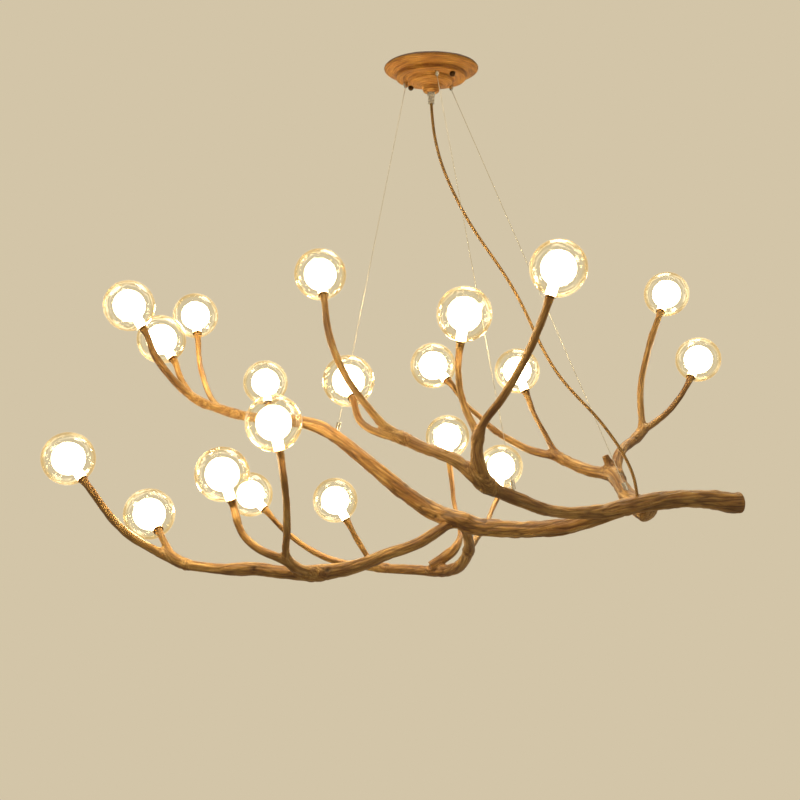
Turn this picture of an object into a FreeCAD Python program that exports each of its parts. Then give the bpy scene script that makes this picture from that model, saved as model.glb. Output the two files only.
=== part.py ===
import FreeCAD, Part
import math
import os
import Sketcher

from FreeCAD import Placement, Rotation, Vector

# Bubble chandelier: a branch of five boughs hangs on three wires from a turned
# canopy, and carries twenty bubble globes. The origin is in the ceiling plane at the
# canopy's centre, +X runs to the right, +Y away from the viewer and +Z up.

doc = FreeCAD.newDocument("bubble_chandelier")
sheet = doc.addObject("Spreadsheet::Sheet", "Sizes")

# Driving dimensions

SIZES = (
    # name, millimetres or degrees, what it is
    ("view_distance", 2020, "from the viewer to the canopy's axis, along Y"),
    ("view_side", 63, "viewer's eye to the left of the canopy's axis"),
    ("view_drop", 675, "viewer's eye below the ceiling"),
    ("canopy_diameter", 190, "rim of the canopy cover"),
    ("canopy_height", 54, "ceiling to the nose of the cover"),
    ("canopy_wall", 4, "wall of the cover"),
    ("shelf_depth", 27, "ceiling to the flat shelf that carries nuts and grippers"),
    ("nose_floor", 6, "floor of the cover's nose"),
    ("bracket_length", 150, "ceiling bracket, long way"),
    ("bracket_width", 20, "ceiling bracket, across"),
    ("bracket_thickness", 2, "ceiling bracket, sheet"),
    ("bracket_centre_hole", 12, "supply cable's hole in the bracket"),
    ("ceiling_hole_diameter", 5, "clearance hole for a ceiling screw"),
    ("ceiling_hole_spacing", 90, "between the two ceiling screws"),
    ("stud_circle", 121, "circle on which the two studs stand"),
    ("stud_angle", 132, "direction of the bracket and the studs"),
    ("stud_diameter", 4, "threaded stud"),
    ("stud_reach", 31, "ceiling to the end of a stud"),
    ("nut_height", 3, "hexagon nuts on studs and grippers"),
    ("nut_wall", 1.8, "least wall of a hexagon nut"),
    ("ball_nut_diameter", 11.5, "domed nut under the cover"),
    ("running_gap", 0.1, "between a thread's outline and its hole"),
    ("free_gap", 0.3, "between pieces that move past each other"),
    ("cover_hole_gap", 0.3, "round a stud or gripper in the cover"),
    ("gripper_circle", 110, "circle on which the three wire grippers stand"),
    ("gripper_left_angle", 160, "direction of the left gripper"),
    ("gripper_front_angle", 280, "direction of the front gripper"),
    ("gripper_right_angle", 40, "direction of the right gripper"),
    ("gripper_diameter", 9, "barrel of a wire gripper"),
    ("gripper_length", 8, "barrel of a wire gripper"),
    ("gripper_thread", 5, "threaded end of a gripper"),
    ("gripper_crown", 1.5, "closed end of the barrel above its bore"),
    ("plunger_diameter", 6.4, "release plunger"),
    ("plunger_length", 7, "release plunger"),
    ("plunger_reach", 3, "how far a plunger stands out of its barrel"),
    ("plunger_mouth", 4.6, "flared mouth that lets the wire lean"),
    ("plunger_mouth_depth", 5, "depth of that mouth"),
    ("wire_diameter", 1.2, "suspension wire"),
    ("wire_entry", 1.8, "how far a wire's end stands in its plunger"),
    ("anchor_diameter", 9, "barrel that clamps a wire to a bough"),
    ("anchor_length", 16, "barrel that clamps a wire to a bough"),
    ("anchor_pin_diameter", 4, "screw of an anchor, in the bough"),
    ("anchor_pin_length", 9, "screw of an anchor, in the bough"),
    ("anchor_hole", 2.4, "set screw hole through an anchor"),
    ("cord_diameter", 6, "power cord over its braid"),
    ("cord_sink", 14, "how far the cord runs into the front bough"),
    ("grip_diameter", 15, "cord grip under the nose"),
    ("grip_end_diameter", 12.6, "cord grip at its lower end"),
    ("grip_length", 23, "cord grip below the nose"),
    ("grip_thread", 10, "threaded end of the cord grip"),
    ("grip_thread_length", 12, "threaded end of the cord grip"),
    ("grip_bell", 9.6, "bell mouth round the cord"),
    ("grip_bell_depth", 4.3, "depth of the bell mouth"),
    ("block_length", 16, "terminal block, along the bracket"),
    ("block_width", 26, "terminal block, across the bracket"),
    ("block_height", 12, "terminal block"),
    ("block_offset", 12, "canopy's axis to the terminal block"),
    ("block_screw_diameter", 4, "clamp screw"),
    ("block_screw_head", 1, "how far a clamp screw stands out"),
    ("block_pitch", 8, "between the block's poles"),
    ("core_diameter", 1.6, "one insulated core of the cord"),
    ("tail_length", 9, "cord jacket that stands up inside the canopy"),
    ("bough_girth", 42, "thickest part of the front bough"),
    ("stem_tip_diameter", 17, "stem where it meets its lamp holder"),
    ("stem_tip_length", 11, "straight end of a stem"),
    ("dowel_diameter", 5, "steel dowel between two boughs"),
    ("lead_diameter", 3.6, "bundle of leads inside a bough"),
    ("lead_bore", 4.6, "bore that the leads run in"),
    ("holder_flange_diameter", 20, "lamp holder's collar"),
    ("holder_flange", 2, "thickness of that collar"),
    ("holder_spigot_diameter", 12, "lamp holder inside the stem"),
    ("holder_spigot", 8, "lamp holder inside the stem"),
    ("holder_boss_diameter", 15, "threaded boss that takes the globe"),
    ("holder_boss", 8, "length of that boss"),
    ("capsule_diameter", 11, "LED capsule"),
    ("capsule_length", 30, "LED capsule above its holder"),
    ("globe_diameter", 100, "clear outer bubble"),
    ("inner_ball_diameter", 62, "frosted inner ball"),
    ("glass_wall", 1.5, "wall of the glass"),
    ("neck_diameter", 19, "neck of a globe"),
    ("overrun", 1, "how far a cutting shape runs past what it cuts"),
)

for row, (alias, value, meaning) in enumerate(SIZES, start=1):
    sheet.set("A%d" % row, alias)
    sheet.set("B%d" % row, str(value))
    sheet.set("C%d" % row, meaning)
    sheet.setAlias("B%d" % row, alias)
doc.recompute()


def size(alias):
    """One driving dimension, read from the sheet."""
    return float(sheet.get(alias))


# Places read from the photograph, as pixels of its frame of eight hundred, with the
# distance from the viewer as a share of view_distance

picture_middle = 400
focal_pixels = 1000


def lifted(u, v, depth_share):
    """The point at one pixel of the photograph, at its depth."""
    depth = depth_share * size("view_distance")
    side = (u - picture_middle) * depth / focal_pixels - size("view_side")
    height = (picture_middle - v) * depth / focal_pixels - size("view_drop")
    return Vector(side, depth - size("view_distance"), height)


# Each globe: pixel and depth share of its centre, then of the stem's tip under it
GLOBE_SHARES = (
    (129, 305.3, 0.967, 143, 328, 0.967),
    (161, 338.5, 1.015, 173, 359, 1.007),
    (195.5, 314.9, 1.100, 197.5, 334, 1.086),
    (320, 273, 0.949, 323.5, 295.5, 0.935),
    (265.4, 382.4, 1.110, 268, 403, 1.099),
    (273.5, 422.4, 0.853, 279.3, 449.5, 0.863),
    (348.4, 380.6, 0.945, 353, 398, 0.926),
    (433, 365.5, 1.086, 447.5, 380.5, 1.074),
    (464.3, 314.5, 0.878, 460.7, 341, 0.888),
    (517.2, 371, 1.095, 525.5, 391.5, 1.087),
    (558.9, 267.1, 0.842, 549.8, 297, 0.842),
    (667, 292.6, 1.115, 660.5, 312, 1.103),
    (698.7, 358.4, 1.110, 690.5, 377.5, 1.099),
    (447.5, 437, 1.125, 449.3, 459.3, 1.122),
    (501, 467, 1.125, 499, 488, 1.116),
    (68, 458, 0.927, 83, 479.5, 0.920),
    (149.3, 514, 0.963, 158.5, 530.5, 0.946),
    (222.2, 474, 0.891, 231, 499.5, 0.899),
    (250.3, 494.2, 1.110, 265, 509.5, 1.100),
    (335.3, 500.5, 1.100, 346.5, 520, 1.094),
)

# Each limb: rows of pixel, depth share and girth as a share of bough_girth, then the
# globe that it ends under, or none. A bough's first limb starts at its root.
FRONT_SHARES = (
    (((742.5, 502.5, 0.941, 1.00), (733, 502.5, 0.940, 1.02), (719, 501, 0.938, 0.97),
      (700, 499, 0.936, 0.88), (680, 499, 0.933, 0.86), (660, 500.5, 0.931, 0.88),
      (640, 504, 0.928, 0.82), (620, 508, 0.925, 0.80), (600, 512, 0.921, 0.71),
      (580, 513, 0.913, 0.60), (560, 512, 0.905, 0.55), (540, 508, 0.891, 0.58),
      (520, 500.5, 0.884, 0.64), (500, 492, 0.876, 0.64), (480, 481, 0.871, 0.67),
      (460, 463.5, 0.876, 0.59), (440, 453.5, 0.884, 0.55), (420, 446, 0.894, 0.54),
      (400, 436.5, 0.901, 0.54), (388, 429, 0.903, 0.44), (376, 417, 0.904, 0.39),
      (360, 397, 0.904, 0.36), (347, 378, 0.905, 0.35), (335, 352, 0.911, 0.34),
      (327, 325, 0.923, 0.34)), 4),
    (((404, 439, 0.900, 0.44), (392, 437, 0.902, 0.40), (380, 433.5, 0.905, 0.37),
      (368, 428, 0.909, 0.36), (359, 419, 0.916, 0.35)), 7),
    (((489, 487, 0.872, 0.55), (483, 475, 0.868, 0.60), (477.5, 460, 0.867, 0.63),
      (477, 446, 0.868, 0.54), (478, 434, 0.868, 0.50)), 0),
    (((479, 438, 0.868, 0.40), (474, 426, 0.872, 0.36), (466, 410, 0.877, 0.34),
      (460, 390, 0.881, 0.32), (458.3, 366, 0.885, 0.31)), 9),
    (((477, 438, 0.868, 0.42), (484, 421, 0.864, 0.40), (496, 406, 0.860, 0.38),
      (513, 381, 0.854, 0.37), (529, 351, 0.849, 0.37), (541, 322, 0.845, 0.36)), 11),
)
MAIN_SHARES = (
    (((624, 510, 0.926, 0.58), (606, 515.5, 0.928, 0.62), (590, 520, 0.931, 0.70),
      (572, 525.5, 0.936, 0.78), (550, 528, 0.943, 0.82), (525, 529.5, 0.950, 0.82),
      (500, 528.5, 0.956, 0.83), (478, 526, 0.961, 0.88), (456, 519, 0.966, 0.84),
      (436, 512.5, 0.972, 0.90), (420, 503, 0.976, 0.84), (400, 489, 0.980, 0.80),
      (380, 472, 0.984, 0.77), (360, 456, 0.988, 0.72), (340, 440, 0.991, 0.66),
      (322, 428.5, 0.993, 0.71), (303, 422.5, 0.995, 0.60), (275, 419.5, 0.995, 0.52),
      (245, 416, 0.993, 0.48), (220, 409, 0.991, 0.46), (196, 399.5, 0.988, 0.43),
      (178, 385, 0.984, 0.40), (163, 367, 0.979, 0.37), (153, 351, 0.974, 0.35)), 1),
    (((205, 404, 0.990, 0.36), (193, 396, 0.992, 0.34), (184, 384, 0.997, 0.32),
      (178.5, 373, 1.001, 0.31)), 2),
    (((236, 414, 0.992, 0.36), (222, 409, 0.996, 0.33), (210.5, 396, 1.010, 0.31),
      (203.5, 379, 1.034, 0.30), (199.5, 359, 1.063, 0.29)), 3),
    (((296, 422, 0.995, 0.38), (286, 419, 1.010, 0.34), (278, 413.5, 1.045, 0.31),
      (272, 409, 1.078, 0.30)), 5),
)
LOWER_SHARES = (
    (((466, 520, 0.970, 0.40), (452, 523.5, 0.967, 0.44), (440, 530, 0.956, 0.52),
      (426, 538.5, 0.949, 0.55), (410, 546.5, 0.942, 0.55), (390, 553, 0.934, 0.57),
      (368, 562, 0.923, 0.62), (348, 568.5, 0.915, 0.70), (328, 571.5, 0.911, 0.74),
      (306, 574, 0.908, 0.66), (280, 572, 0.907, 0.61), (262, 570, 0.910, 0.61),
      (245, 569, 0.914, 0.65), (222, 569, 0.920, 0.52), (200, 567, 0.926, 0.49),
      (180, 562.5, 0.931, 0.47), (160, 553.5, 0.933, 0.44), (142, 543.5, 0.932, 0.42),
      (122, 529, 0.929, 0.40), (106, 511, 0.926, 0.38), (94, 494, 0.923, 0.36)), 16),
    (((186, 564, 0.930, 0.40), (174, 556.5, 0.931, 0.37), (166.5, 547, 0.936, 0.35)), 17),
    (((320, 573, 0.909, 0.50), (305, 571, 0.901, 0.48), (291, 565, 0.892, 0.44),
      (281, 559, 0.888, 0.40), (266, 553, 0.887, 0.38), (252, 544, 0.889, 0.37),
      (241, 530, 0.893, 0.36), (236, 516, 0.896, 0.35)), 18),
    (((294, 567, 0.894, 0.38), (287, 556, 0.888, 0.36), (286.5, 540, 0.879, 0.36),
      (287, 518, 0.871, 0.35), (285.5, 494, 0.866, 0.34), (283, 472, 0.863, 0.33)), 6),
)
HOOKED_SHARES = (
    (((465, 519, 0.960, 0.46), (467, 533, 0.969, 0.50), (469, 546, 0.987, 0.56),
      (466, 557, 1.005, 0.58), (458, 566.5, 1.025, 0.62), (443, 571, 1.045, 0.62),
      (422, 570.5, 1.062, 0.56), (402, 569, 1.074, 0.55), (382, 568, 1.083, 0.51),
      (362, 566, 1.091, 0.44), (340, 562.5, 1.097, 0.40), (322, 556, 1.101, 0.37),
      (306, 547, 1.103, 0.34), (291, 536, 1.103, 0.32), (278, 524, 1.102, 0.31)), 19),
    (((386, 568.5, 1.082, 0.40), (374, 564, 1.086, 0.37), (364, 551, 1.091, 0.34),
      (355.5, 537, 1.093, 0.33)), 20),
    (((430, 566, 1.050, 0.45), (439, 561, 1.050, 0.52), (448, 555, 1.052, 0.58),
      (455, 548, 1.058, 0.50), (459.5, 540, 1.068, 0.36), (460, 531, 1.085, 0.30),
      (458.5, 520, 1.100, 0.28), (454.5, 506, 1.113, 0.28), (452, 486, 1.119, 0.27)), 14),
    (((468, 551, 0.992, 0.40), (473, 543, 1.008, 0.36), (480, 534, 1.035, 0.31),
      (487, 523, 1.068, 0.28), (493, 508, 1.097, 0.27)), 15),
)
REAR_SHARES = (
    (((652, 516, 0.940, 1.06), (647, 511, 0.945, 1.12), (636.5, 504, 0.961, 0.98),
      (627, 496, 0.977, 0.84), (621, 486, 0.990, 0.76), (616, 477, 1.004, 0.74),
      (606, 473.5, 1.018, 0.68), (592, 471, 1.031, 0.64), (572, 464, 1.048, 0.60),
      (556, 456.5, 1.058, 0.50), (534, 451.5, 1.068, 0.42), (514, 442.5, 1.075, 0.38),
      (496, 431, 1.080, 0.35), (480, 417.5, 1.083, 0.31), (465, 403, 1.081, 0.28)), 8),
    (((618, 480, 1.002, 0.60), (616.5, 466, 1.018, 0.60), (619, 454, 1.032, 0.56),
      (628, 444, 1.052, 0.54), (641, 431, 1.072, 0.50), (641.5, 416, 1.082, 0.38),
      (640.5, 396, 1.089, 0.36), (643, 373, 1.095, 0.36), (648, 350, 1.099, 0.36),
      (653.5, 331, 1.101, 0.37)), 12),
    (((636, 437, 1.064, 0.42), (650, 426, 1.078, 0.38), (666, 413.5, 1.087, 0.35),
      (679, 398, 1.093, 0.34)), 13),
    (((564, 460, 1.053, 0.38), (554, 450, 1.060, 0.35), (545, 434.5, 1.067, 0.31),
      (536, 417.5, 1.075, 0.29)), 10),
    (((613, 474, 1.012, 0.46), (608.5, 463, 1.016, 0.44), (605, 455, 1.017, 0.36)), 0),
)

# Each dowel between two boughs: one end in the bough that carries, then the other
DOWEL_SHARES = (
    (612, 505.4, 0.9235, 584.7, 518.3, 0.934),
    (454, 518.4, 0.9708, 431.9, 531.6, 0.9512),
    (468.8, 528.2, 0.9625, 471.6, 544.3, 0.9864),
    (648, 502.5, 0.927, 645.5, 512.5, 0.9455),
)

# Where the rear bough's leads leave the front bough, under the cord's end
REAR_LEAD_SHARES = ((638, 505.5, 0.928, 0), (640, 506.5, 0.944, 0))

# Where each wire is clamped to its bough: the barrel's foot
LEFT_ANCHOR_SHARES = (337.5, 430, 0.992)
FRONT_ANCHOR_SHARES = (513.5, 489.5, 0.8815)
RIGHT_ANCHOR_SHARES = (626.5, 490.3, 0.9735)


# Pieces of the document


def bind(feature, **expressions):
    """Ties properties of a feature to expressions of the sheet's names."""
    for name, expression in expressions.items():
        feature.setExpression(name.replace("_of_", "."), expression)
    return feature


def solid(kind, name, base, **expressions):
    """A primitive whose sizes and place follow the sheet."""
    feature = doc.addObject("Part::" + kind, name)
    places = zip(("x", "y", "z"), base)
    for axis, expression in places:
        if expression:
            feature.setExpression("Placement.Base." + axis, expression)
    return bind(feature, **expressions)


def cut(name, base, tool):
    """One object less another."""
    feature = doc.addObject("Part::Cut", name)
    feature.Base = base
    feature.Tool = tool
    return feature


def fuse(name, *members):
    """Several objects made one solid."""
    feature = doc.addObject("Part::MultiFuse", name)
    feature.Shapes = list(members)
    return feature


def origin_plane(body, role):
    """A body's own base plane."""
    return next(plane for plane in body.Origin.OriginFeatures if plane.Role == role)


def outline_sketch(body, name, role, corners):
    """A closed outline of straight edges, each corner a pair of expressions."""
    sketch = body.newObject("Sketcher::SketchObject", name)
    sketch.AttachmentSupport = [(origin_plane(body, role), "")]
    sketch.MapMode = "FlatFace"
    count = len(corners)
    for index in range(count):
        start = Vector(index, index * index, 0)
        end = Vector(index + 1, (index + 1) * (index + 1), 0)
        sketch.addGeometry(Part.LineSegment(start, end))
    for index in range(count):
        following = (index + 1) % count
        sketch.addConstraint(Sketcher.Constraint("Coincident", index, 2, following, 1))
    for index, corner in enumerate(corners):
        for kind, expression in zip(("DistanceX", "DistanceY"), corner):
            place = sketch.addConstraint(Sketcher.Constraint(kind, -1, 1, index, 1, 0))
            if expression:
                sketch.setExpression("Constraints[%d]" % place, expression)
    return sketch


def circle_sketch(body, name, circles):
    """Circles on the body's XY plane, each a centre and a diameter in expressions."""
    sketch = body.newObject("Sketcher::SketchObject", name)
    sketch.AttachmentSupport = [(origin_plane(body, "XY_Plane"), "")]
    sketch.MapMode = "FlatFace"
    for index, (side, away, diameter) in enumerate(circles):
        sketch.addGeometry(Part.Circle(Vector(index, index, 0), Vector(0, 0, 1), 1))
        for kind, expression in (("DistanceX", side), ("DistanceY", away)):
            place = sketch.addConstraint(Sketcher.Constraint(kind, -1, 1, index, 3, 0))
            if expression:
                sketch.setExpression("Constraints[%d]" % place, expression)
        place = sketch.addConstraint(Sketcher.Constraint("Diameter", index, 1))
        sketch.setExpression("Constraints[%d]" % place, diameter)
    return sketch


def turned_body(name, corners):
    """A piece turned about Z from an outline in radius and height."""
    body = doc.addObject("PartDesign::Body", name)
    sketch = outline_sketch(body, name + "_outline", "XZ_Plane", corners)
    turn = body.newObject("PartDesign::Revolution", name + "_turn")
    turn.Profile = sketch
    turn.ReferenceAxis = (sketch, ["V_Axis"])
    turn.Angle = 360
    return body


def drill(body, name, circles):
    """Round holes right through a body, along Z."""
    pocket = body.newObject("PartDesign::Pocket", name)
    pocket.Profile = circle_sketch(body, name + "_circles", circles)
    pocket.Type = "ThroughAll"
    pocket.Midplane = True
    return pocket


def node(name, shape):
    """A finished piece whose form no simple feature gives."""
    feature = doc.addObject("Part::Feature", name)
    feature.Shape = shape
    return feature


def around(diameter, angle):
    """Side and depth expressions of a place on a circle about the canopy's axis."""
    side = "Sizes.%s / 2 * cos(Sizes.%s)" % (diameter, angle)
    away = "Sizes.%s / 2 * sin(Sizes.%s)" % (diameter, angle)
    return side, away


def spot(diameter, angle, depth=0):
    """The same place as a point."""
    turn = Rotation(Vector(0, 0, 1), size(angle))
    return turn.multVec(Vector(size(diameter) / 2, 0, -depth))


GRIPPERS = ("left", "front", "right")
nodes = []

# Ceiling bracket: a flat steel bar with the ceiling screws' holes, the studs' holes and
# a hole for the supply cable

bracket = doc.addObject("PartDesign::Body", "ceiling_bracket")
half_length = "Sizes.bracket_length / 2"
half_width = "Sizes.bracket_width / 2"
bar = outline_sketch(bracket, "bar_outline", "XY_Plane", (
    ("-" + half_length, "-" + half_width),
    (half_length, "-" + half_width),
    (half_length, half_width),
    ("-" + half_length, half_width),
))
plate = bracket.newObject("PartDesign::Pad", "bar")
plate.Profile = bar
plate.Reversed = True
bind(plate, Length="Sizes.bracket_thickness")
drill(bracket, "bar_holes", (
    (None, None, "Sizes.bracket_centre_hole"),
    ("Sizes.ceiling_hole_spacing / 2", None, "Sizes.ceiling_hole_diameter"),
    ("-Sizes.ceiling_hole_spacing / 2", None, "Sizes.ceiling_hole_diameter"),
    ("Sizes.stud_circle / 2", None, "Sizes.stud_diameter + 2 * Sizes.running_gap"),
    ("-Sizes.stud_circle / 2", None, "Sizes.stud_diameter + 2 * Sizes.running_gap"),
))
bracket.Placement = Placement(Vector(), Rotation(Vector(0, 0, 1), size("stud_angle")))
nodes.append(bracket)

# Canopy cover: a turned saucer in steps, with a flat shelf for the nuts and grippers
# and a nose for the cord grip

RIM = "Sizes.canopy_diameter / 2"
SHELF = "Sizes.shelf_depth"
NOSE = "Sizes.canopy_height"
WALL = "Sizes.canopy_wall"
GRIP_HOLE = "Sizes.grip_thread / 2 + Sizes.running_gap"
OUTER_SHARES = (
    # radius as a share of the rim's, depth as a share of the shelf's
    (0.915, 0), (0.97, 0.09), (1, 0.22), (0.985, 0.33), (0.93, 0.43), (0.86, 0.50),
    (0.78, 0.58), (0.745, 0.68), (0.742, 0.86), (0.73, 1), (0.51, 1),
)
NOSE_SHARES = (
    # radius as a share of the rim's, depth as a share of the way from shelf to nose
    (0.48, 0.10), (0.455, 0.27), (0.38, 0.38), (0.27, 0.45), (0.205, 0.58),
    (0.18, 0.76), (0.16, 0.93), (0.145, 1),
)


def shelf_corner(radius_share, depth_share, inward):
    """A corner above the shelf, on the outside or one wall inside it."""
    radius = "%g * %s - %d * %s" % (radius_share, RIM, inward, WALL)
    depth = "-%g * (%s - %d * %s)" % (depth_share, SHELF, inward, WALL)
    return radius, depth


def nose_corner(radius_share, depth_share, inward):
    """A corner between shelf and nose, on the outside or one wall inside it."""
    radius = "%g * %s - %d * %s" % (radius_share, RIM, inward, WALL)
    drop = "%s - %s - %d * (Sizes.nose_floor - %s)" % (NOSE, SHELF, inward, WALL)
    depth = "-(%s - %d * %s) - %g * (%s)" % (SHELF, inward, WALL, depth_share, drop)
    return radius, depth


outside = [shelf_corner(*share, 0) for share in OUTER_SHARES]
outside += [nose_corner(*share, 0) for share in NOSE_SHARES]
inside = [shelf_corner(*share, 1) for share in OUTER_SHARES]
inside += [nose_corner(*share, 1) for share in NOSE_SHARES]
bore_top = (GRIP_HOLE, "-%s + Sizes.nose_floor" % NOSE)
bore_foot = (GRIP_HOLE, "-%s" % NOSE)
cover = turned_body("canopy_cover", outside + [bore_foot, bore_top] + inside[::-1])
holes = [around("stud_circle", "stud_angle") + ("Sizes.stud_diameter + 2 * Sizes.cover_hole_gap",)]
opposite = ["-(%s)" % expression for expression in holes[0][:2]]
holes.append((opposite[0], opposite[1], holes[0][2]))
for side in GRIPPERS:
    place = around("gripper_circle", "gripper_%s_angle" % side)
    holes.append(place + ("Sizes.gripper_thread + 2 * Sizes.cover_hole_gap",))
drill(cover, "cover_holes", holes)
nodes.append(cover)


def hexagon_nut(name, diameter, top):
    """A plain hexagon nut on Z, its upper face at one height."""
    across = "(%s / 2 + Sizes.running_gap + Sizes.nut_wall) / cos(30)" % diameter
    blank = solid("Prism", name + "_blank", (None, None, "%s - Sizes.nut_height" % top),
                  Circumradius=across, Height="Sizes.nut_height")
    blank.Polygon = 6
    below = "%s - Sizes.nut_height - Sizes.overrun" % top
    hole = solid("Cylinder", name + "_hole", (None, None, below),
                 Radius="%s / 2 + Sizes.running_gap" % diameter,
                 Height="Sizes.nut_height + 2 * Sizes.overrun")
    return cut(name, blank, hole)


def copies(name, template, places):
    """One node that holds a template's solid at each of several places."""
    doc.recompute()
    pieces = []
    for place in places:
        piece = template.Shape.copy()
        piece.Placement = place.multiply(piece.Placement)
        pieces.append(piece)
    return node(name, Part.makeCompound(pieces))


# Studs through the bracket, their lock nuts under it and the ball nuts under the cover

stud_places = [Placement(spot("stud_circle", "stud_angle"), Rotation())]
stud_places.append(Placement(-spot("stud_circle", "stud_angle"), Rotation()))
stud = solid("Cylinder", "stud_template", (None, None, "-Sizes.stud_reach"),
             Radius="Sizes.stud_diameter / 2", Height="Sizes.stud_reach")
nodes.append(copies("canopy_studs", stud, stud_places))
lock_nut = hexagon_nut("lock_nut_template", "Sizes.stud_diameter", "-Sizes.bracket_thickness")
nodes.append(copies("stud_lock_nuts", lock_nut, stud_places))
ball_centre = "-%s - 0.3 * Sizes.ball_nut_diameter" % SHELF
ball = solid("Sphere", "ball", (None, None, ball_centre), Radius="Sizes.ball_nut_diameter / 2")
above = solid("Cylinder", "ball_seat", (None, None, "-" + SHELF),
              Radius="Sizes.ball_nut_diameter", Height="Sizes.ball_nut_diameter")
thread_top = "-Sizes.stud_reach - Sizes.running_gap"
thread = solid("Cylinder", "ball_thread", (None, None, thread_top),
               Radius="Sizes.stud_diameter / 2 + Sizes.running_gap", Height="Sizes.stud_reach")
ball_nut = cut("ball_nut_template", cut("seated_ball", ball, above), thread)
nodes.append(copies("ball_nuts", ball_nut, stud_places))

# Wire grippers: a barrel under the shelf, threaded through it into a nut, and a sprung
# plunger that lets the wire go when it is pressed up

barrel_foot = "-%s - Sizes.gripper_length" % SHELF
barrel = solid("Cylinder", "barrel", (None, None, barrel_foot),
               Radius="Sizes.gripper_diameter / 2", Height="Sizes.gripper_length")
barrel_thread = solid("Cylinder", "barrel_thread", (None, None, "-" + SHELF),
                      Radius="Sizes.gripper_thread / 2",
                      Height="%s + Sizes.nut_height + Sizes.overrun" % WALL)
barrel_bore = solid("Cylinder", "barrel_bore", (None, None, barrel_foot + " - Sizes.overrun"),
                    Radius="Sizes.plunger_diameter / 2 + Sizes.free_gap / 2",
                    Height="Sizes.gripper_length - Sizes.gripper_crown + Sizes.overrun")
gripper = cut("gripper_template", fuse("gripper_blank", barrel, barrel_thread), barrel_bore)
plunger_foot = barrel_foot + " - Sizes.plunger_reach"
pin = solid("Cylinder", "pin", (None, None, plunger_foot),
            Radius="Sizes.plunger_diameter / 2", Height="Sizes.plunger_length")
mouth = solid("Cylinder", "mouth", (None, None, plunger_foot + " - Sizes.overrun"),
              Radius="Sizes.plunger_mouth / 2",
              Height="Sizes.plunger_mouth_depth + Sizes.overrun")
plunger = cut("plunger_template", pin, mouth)
gripper_nut = hexagon_nut("gripper_nut_template", "Sizes.gripper_thread",
                          "-%s + %s + Sizes.nut_height" % (SHELF, WALL))
gripper_places = {
    side: Placement(spot("gripper_circle", "gripper_%s_angle" % side), Rotation())
    for side in GRIPPERS
}
nodes.append(copies("wire_grippers", gripper, gripper_places.values()))
nodes.append(copies("gripper_nuts", gripper_nut, gripper_places.values()))
for side in GRIPPERS:
    doc.recompute()
    release = plunger.Shape.copy()
    release.Placement = gripper_places[side].multiply(release.Placement)
    nodes.append(node(side + "_release_plunger", release))

# Cord grip under the nose, with a bell mouth for the cord, and its nut inside

GRIP = "Sizes.grip_diameter / 2"
GRIP_END = "Sizes.grip_end_diameter / 2"
GRIP_FOOT = "-%s - Sizes.grip_length" % NOSE
grip = turned_body("cord_grip", (
    (None, "-%s + Sizes.grip_thread_length" % NOSE),
    ("Sizes.grip_thread / 2", "-%s + Sizes.grip_thread_length" % NOSE),
    ("Sizes.grip_thread / 2", "-" + NOSE),
    (GRIP, "-" + NOSE),
    (GRIP, "-%s - 0.3 * Sizes.grip_length" % NOSE),
    (GRIP_END, "-%s - 0.42 * Sizes.grip_length" % NOSE),
    (GRIP_END, GRIP_FOOT),
    ("Sizes.grip_bell / 2", GRIP_FOOT),
    ("Sizes.grip_bell / 2", GRIP_FOOT + " + Sizes.grip_bell_depth"),
    (None, GRIP_FOOT + " + Sizes.grip_bell_depth"),
))
nodes.append(grip)
grip_nut = hexagon_nut("grip_nut_template", "Sizes.grip_thread",
                       "-%s + Sizes.nose_floor + Sizes.nut_height" % NOSE)
nodes.append(copies("cord_grip_nut", grip_nut, [Placement()]))


# Tubes: straight runs joined by tangent arcs


def tube(points, diameter, label):
    """A round tube along a route, and the least radius of its turns."""
    runs = [(end - start).Length for start, end in zip(points, points[1:])]
    edges = []
    radii = []
    last = points[0]
    for index in range(1, len(points) - 1):
        before = (points[index - 1] - points[index]).normalize()
        after = (points[index + 1] - points[index]).normalize()
        reach = 0.45 * min(runs[index - 1], runs[index])
        half_turn = (math.pi - before.getAngle(after)) / 2
        radii.append(reach / math.tan(half_turn))
        entry = points[index] + before * reach
        leave = points[index] + after * reach
        sag = radii[-1] * (1 / math.cos(half_turn) - 1)
        crown = points[index] + (before + after).normalize() * sag
        edges.append(Part.LineSegment(last, entry).toShape())
        edges.append(Part.Arc(entry, crown, leave).toShape())
        last = leave
    edges.append(Part.LineSegment(last, points[-1]).toShape())
    path = Part.Wire(edges)
    ring = Part.makeCircle(diameter / 2, points[0], points[1] - points[0])
    shape = path.makePipeShell([Part.Wire([ring])], True, True)
    expected = math.pi * diameter * diameter / 4 * path.Length
    print(label, "length %.0f" % path.Length, "least radius %.1f" % min(radii or [0]),
          "volume ratio %.4f" % (shape.Volume / expected))
    print(label, "radii", [round(radius) for radius in radii])
    return shape


# Terminal block on the bracket, its clamp screws, the cord's tail and its three cores

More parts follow.
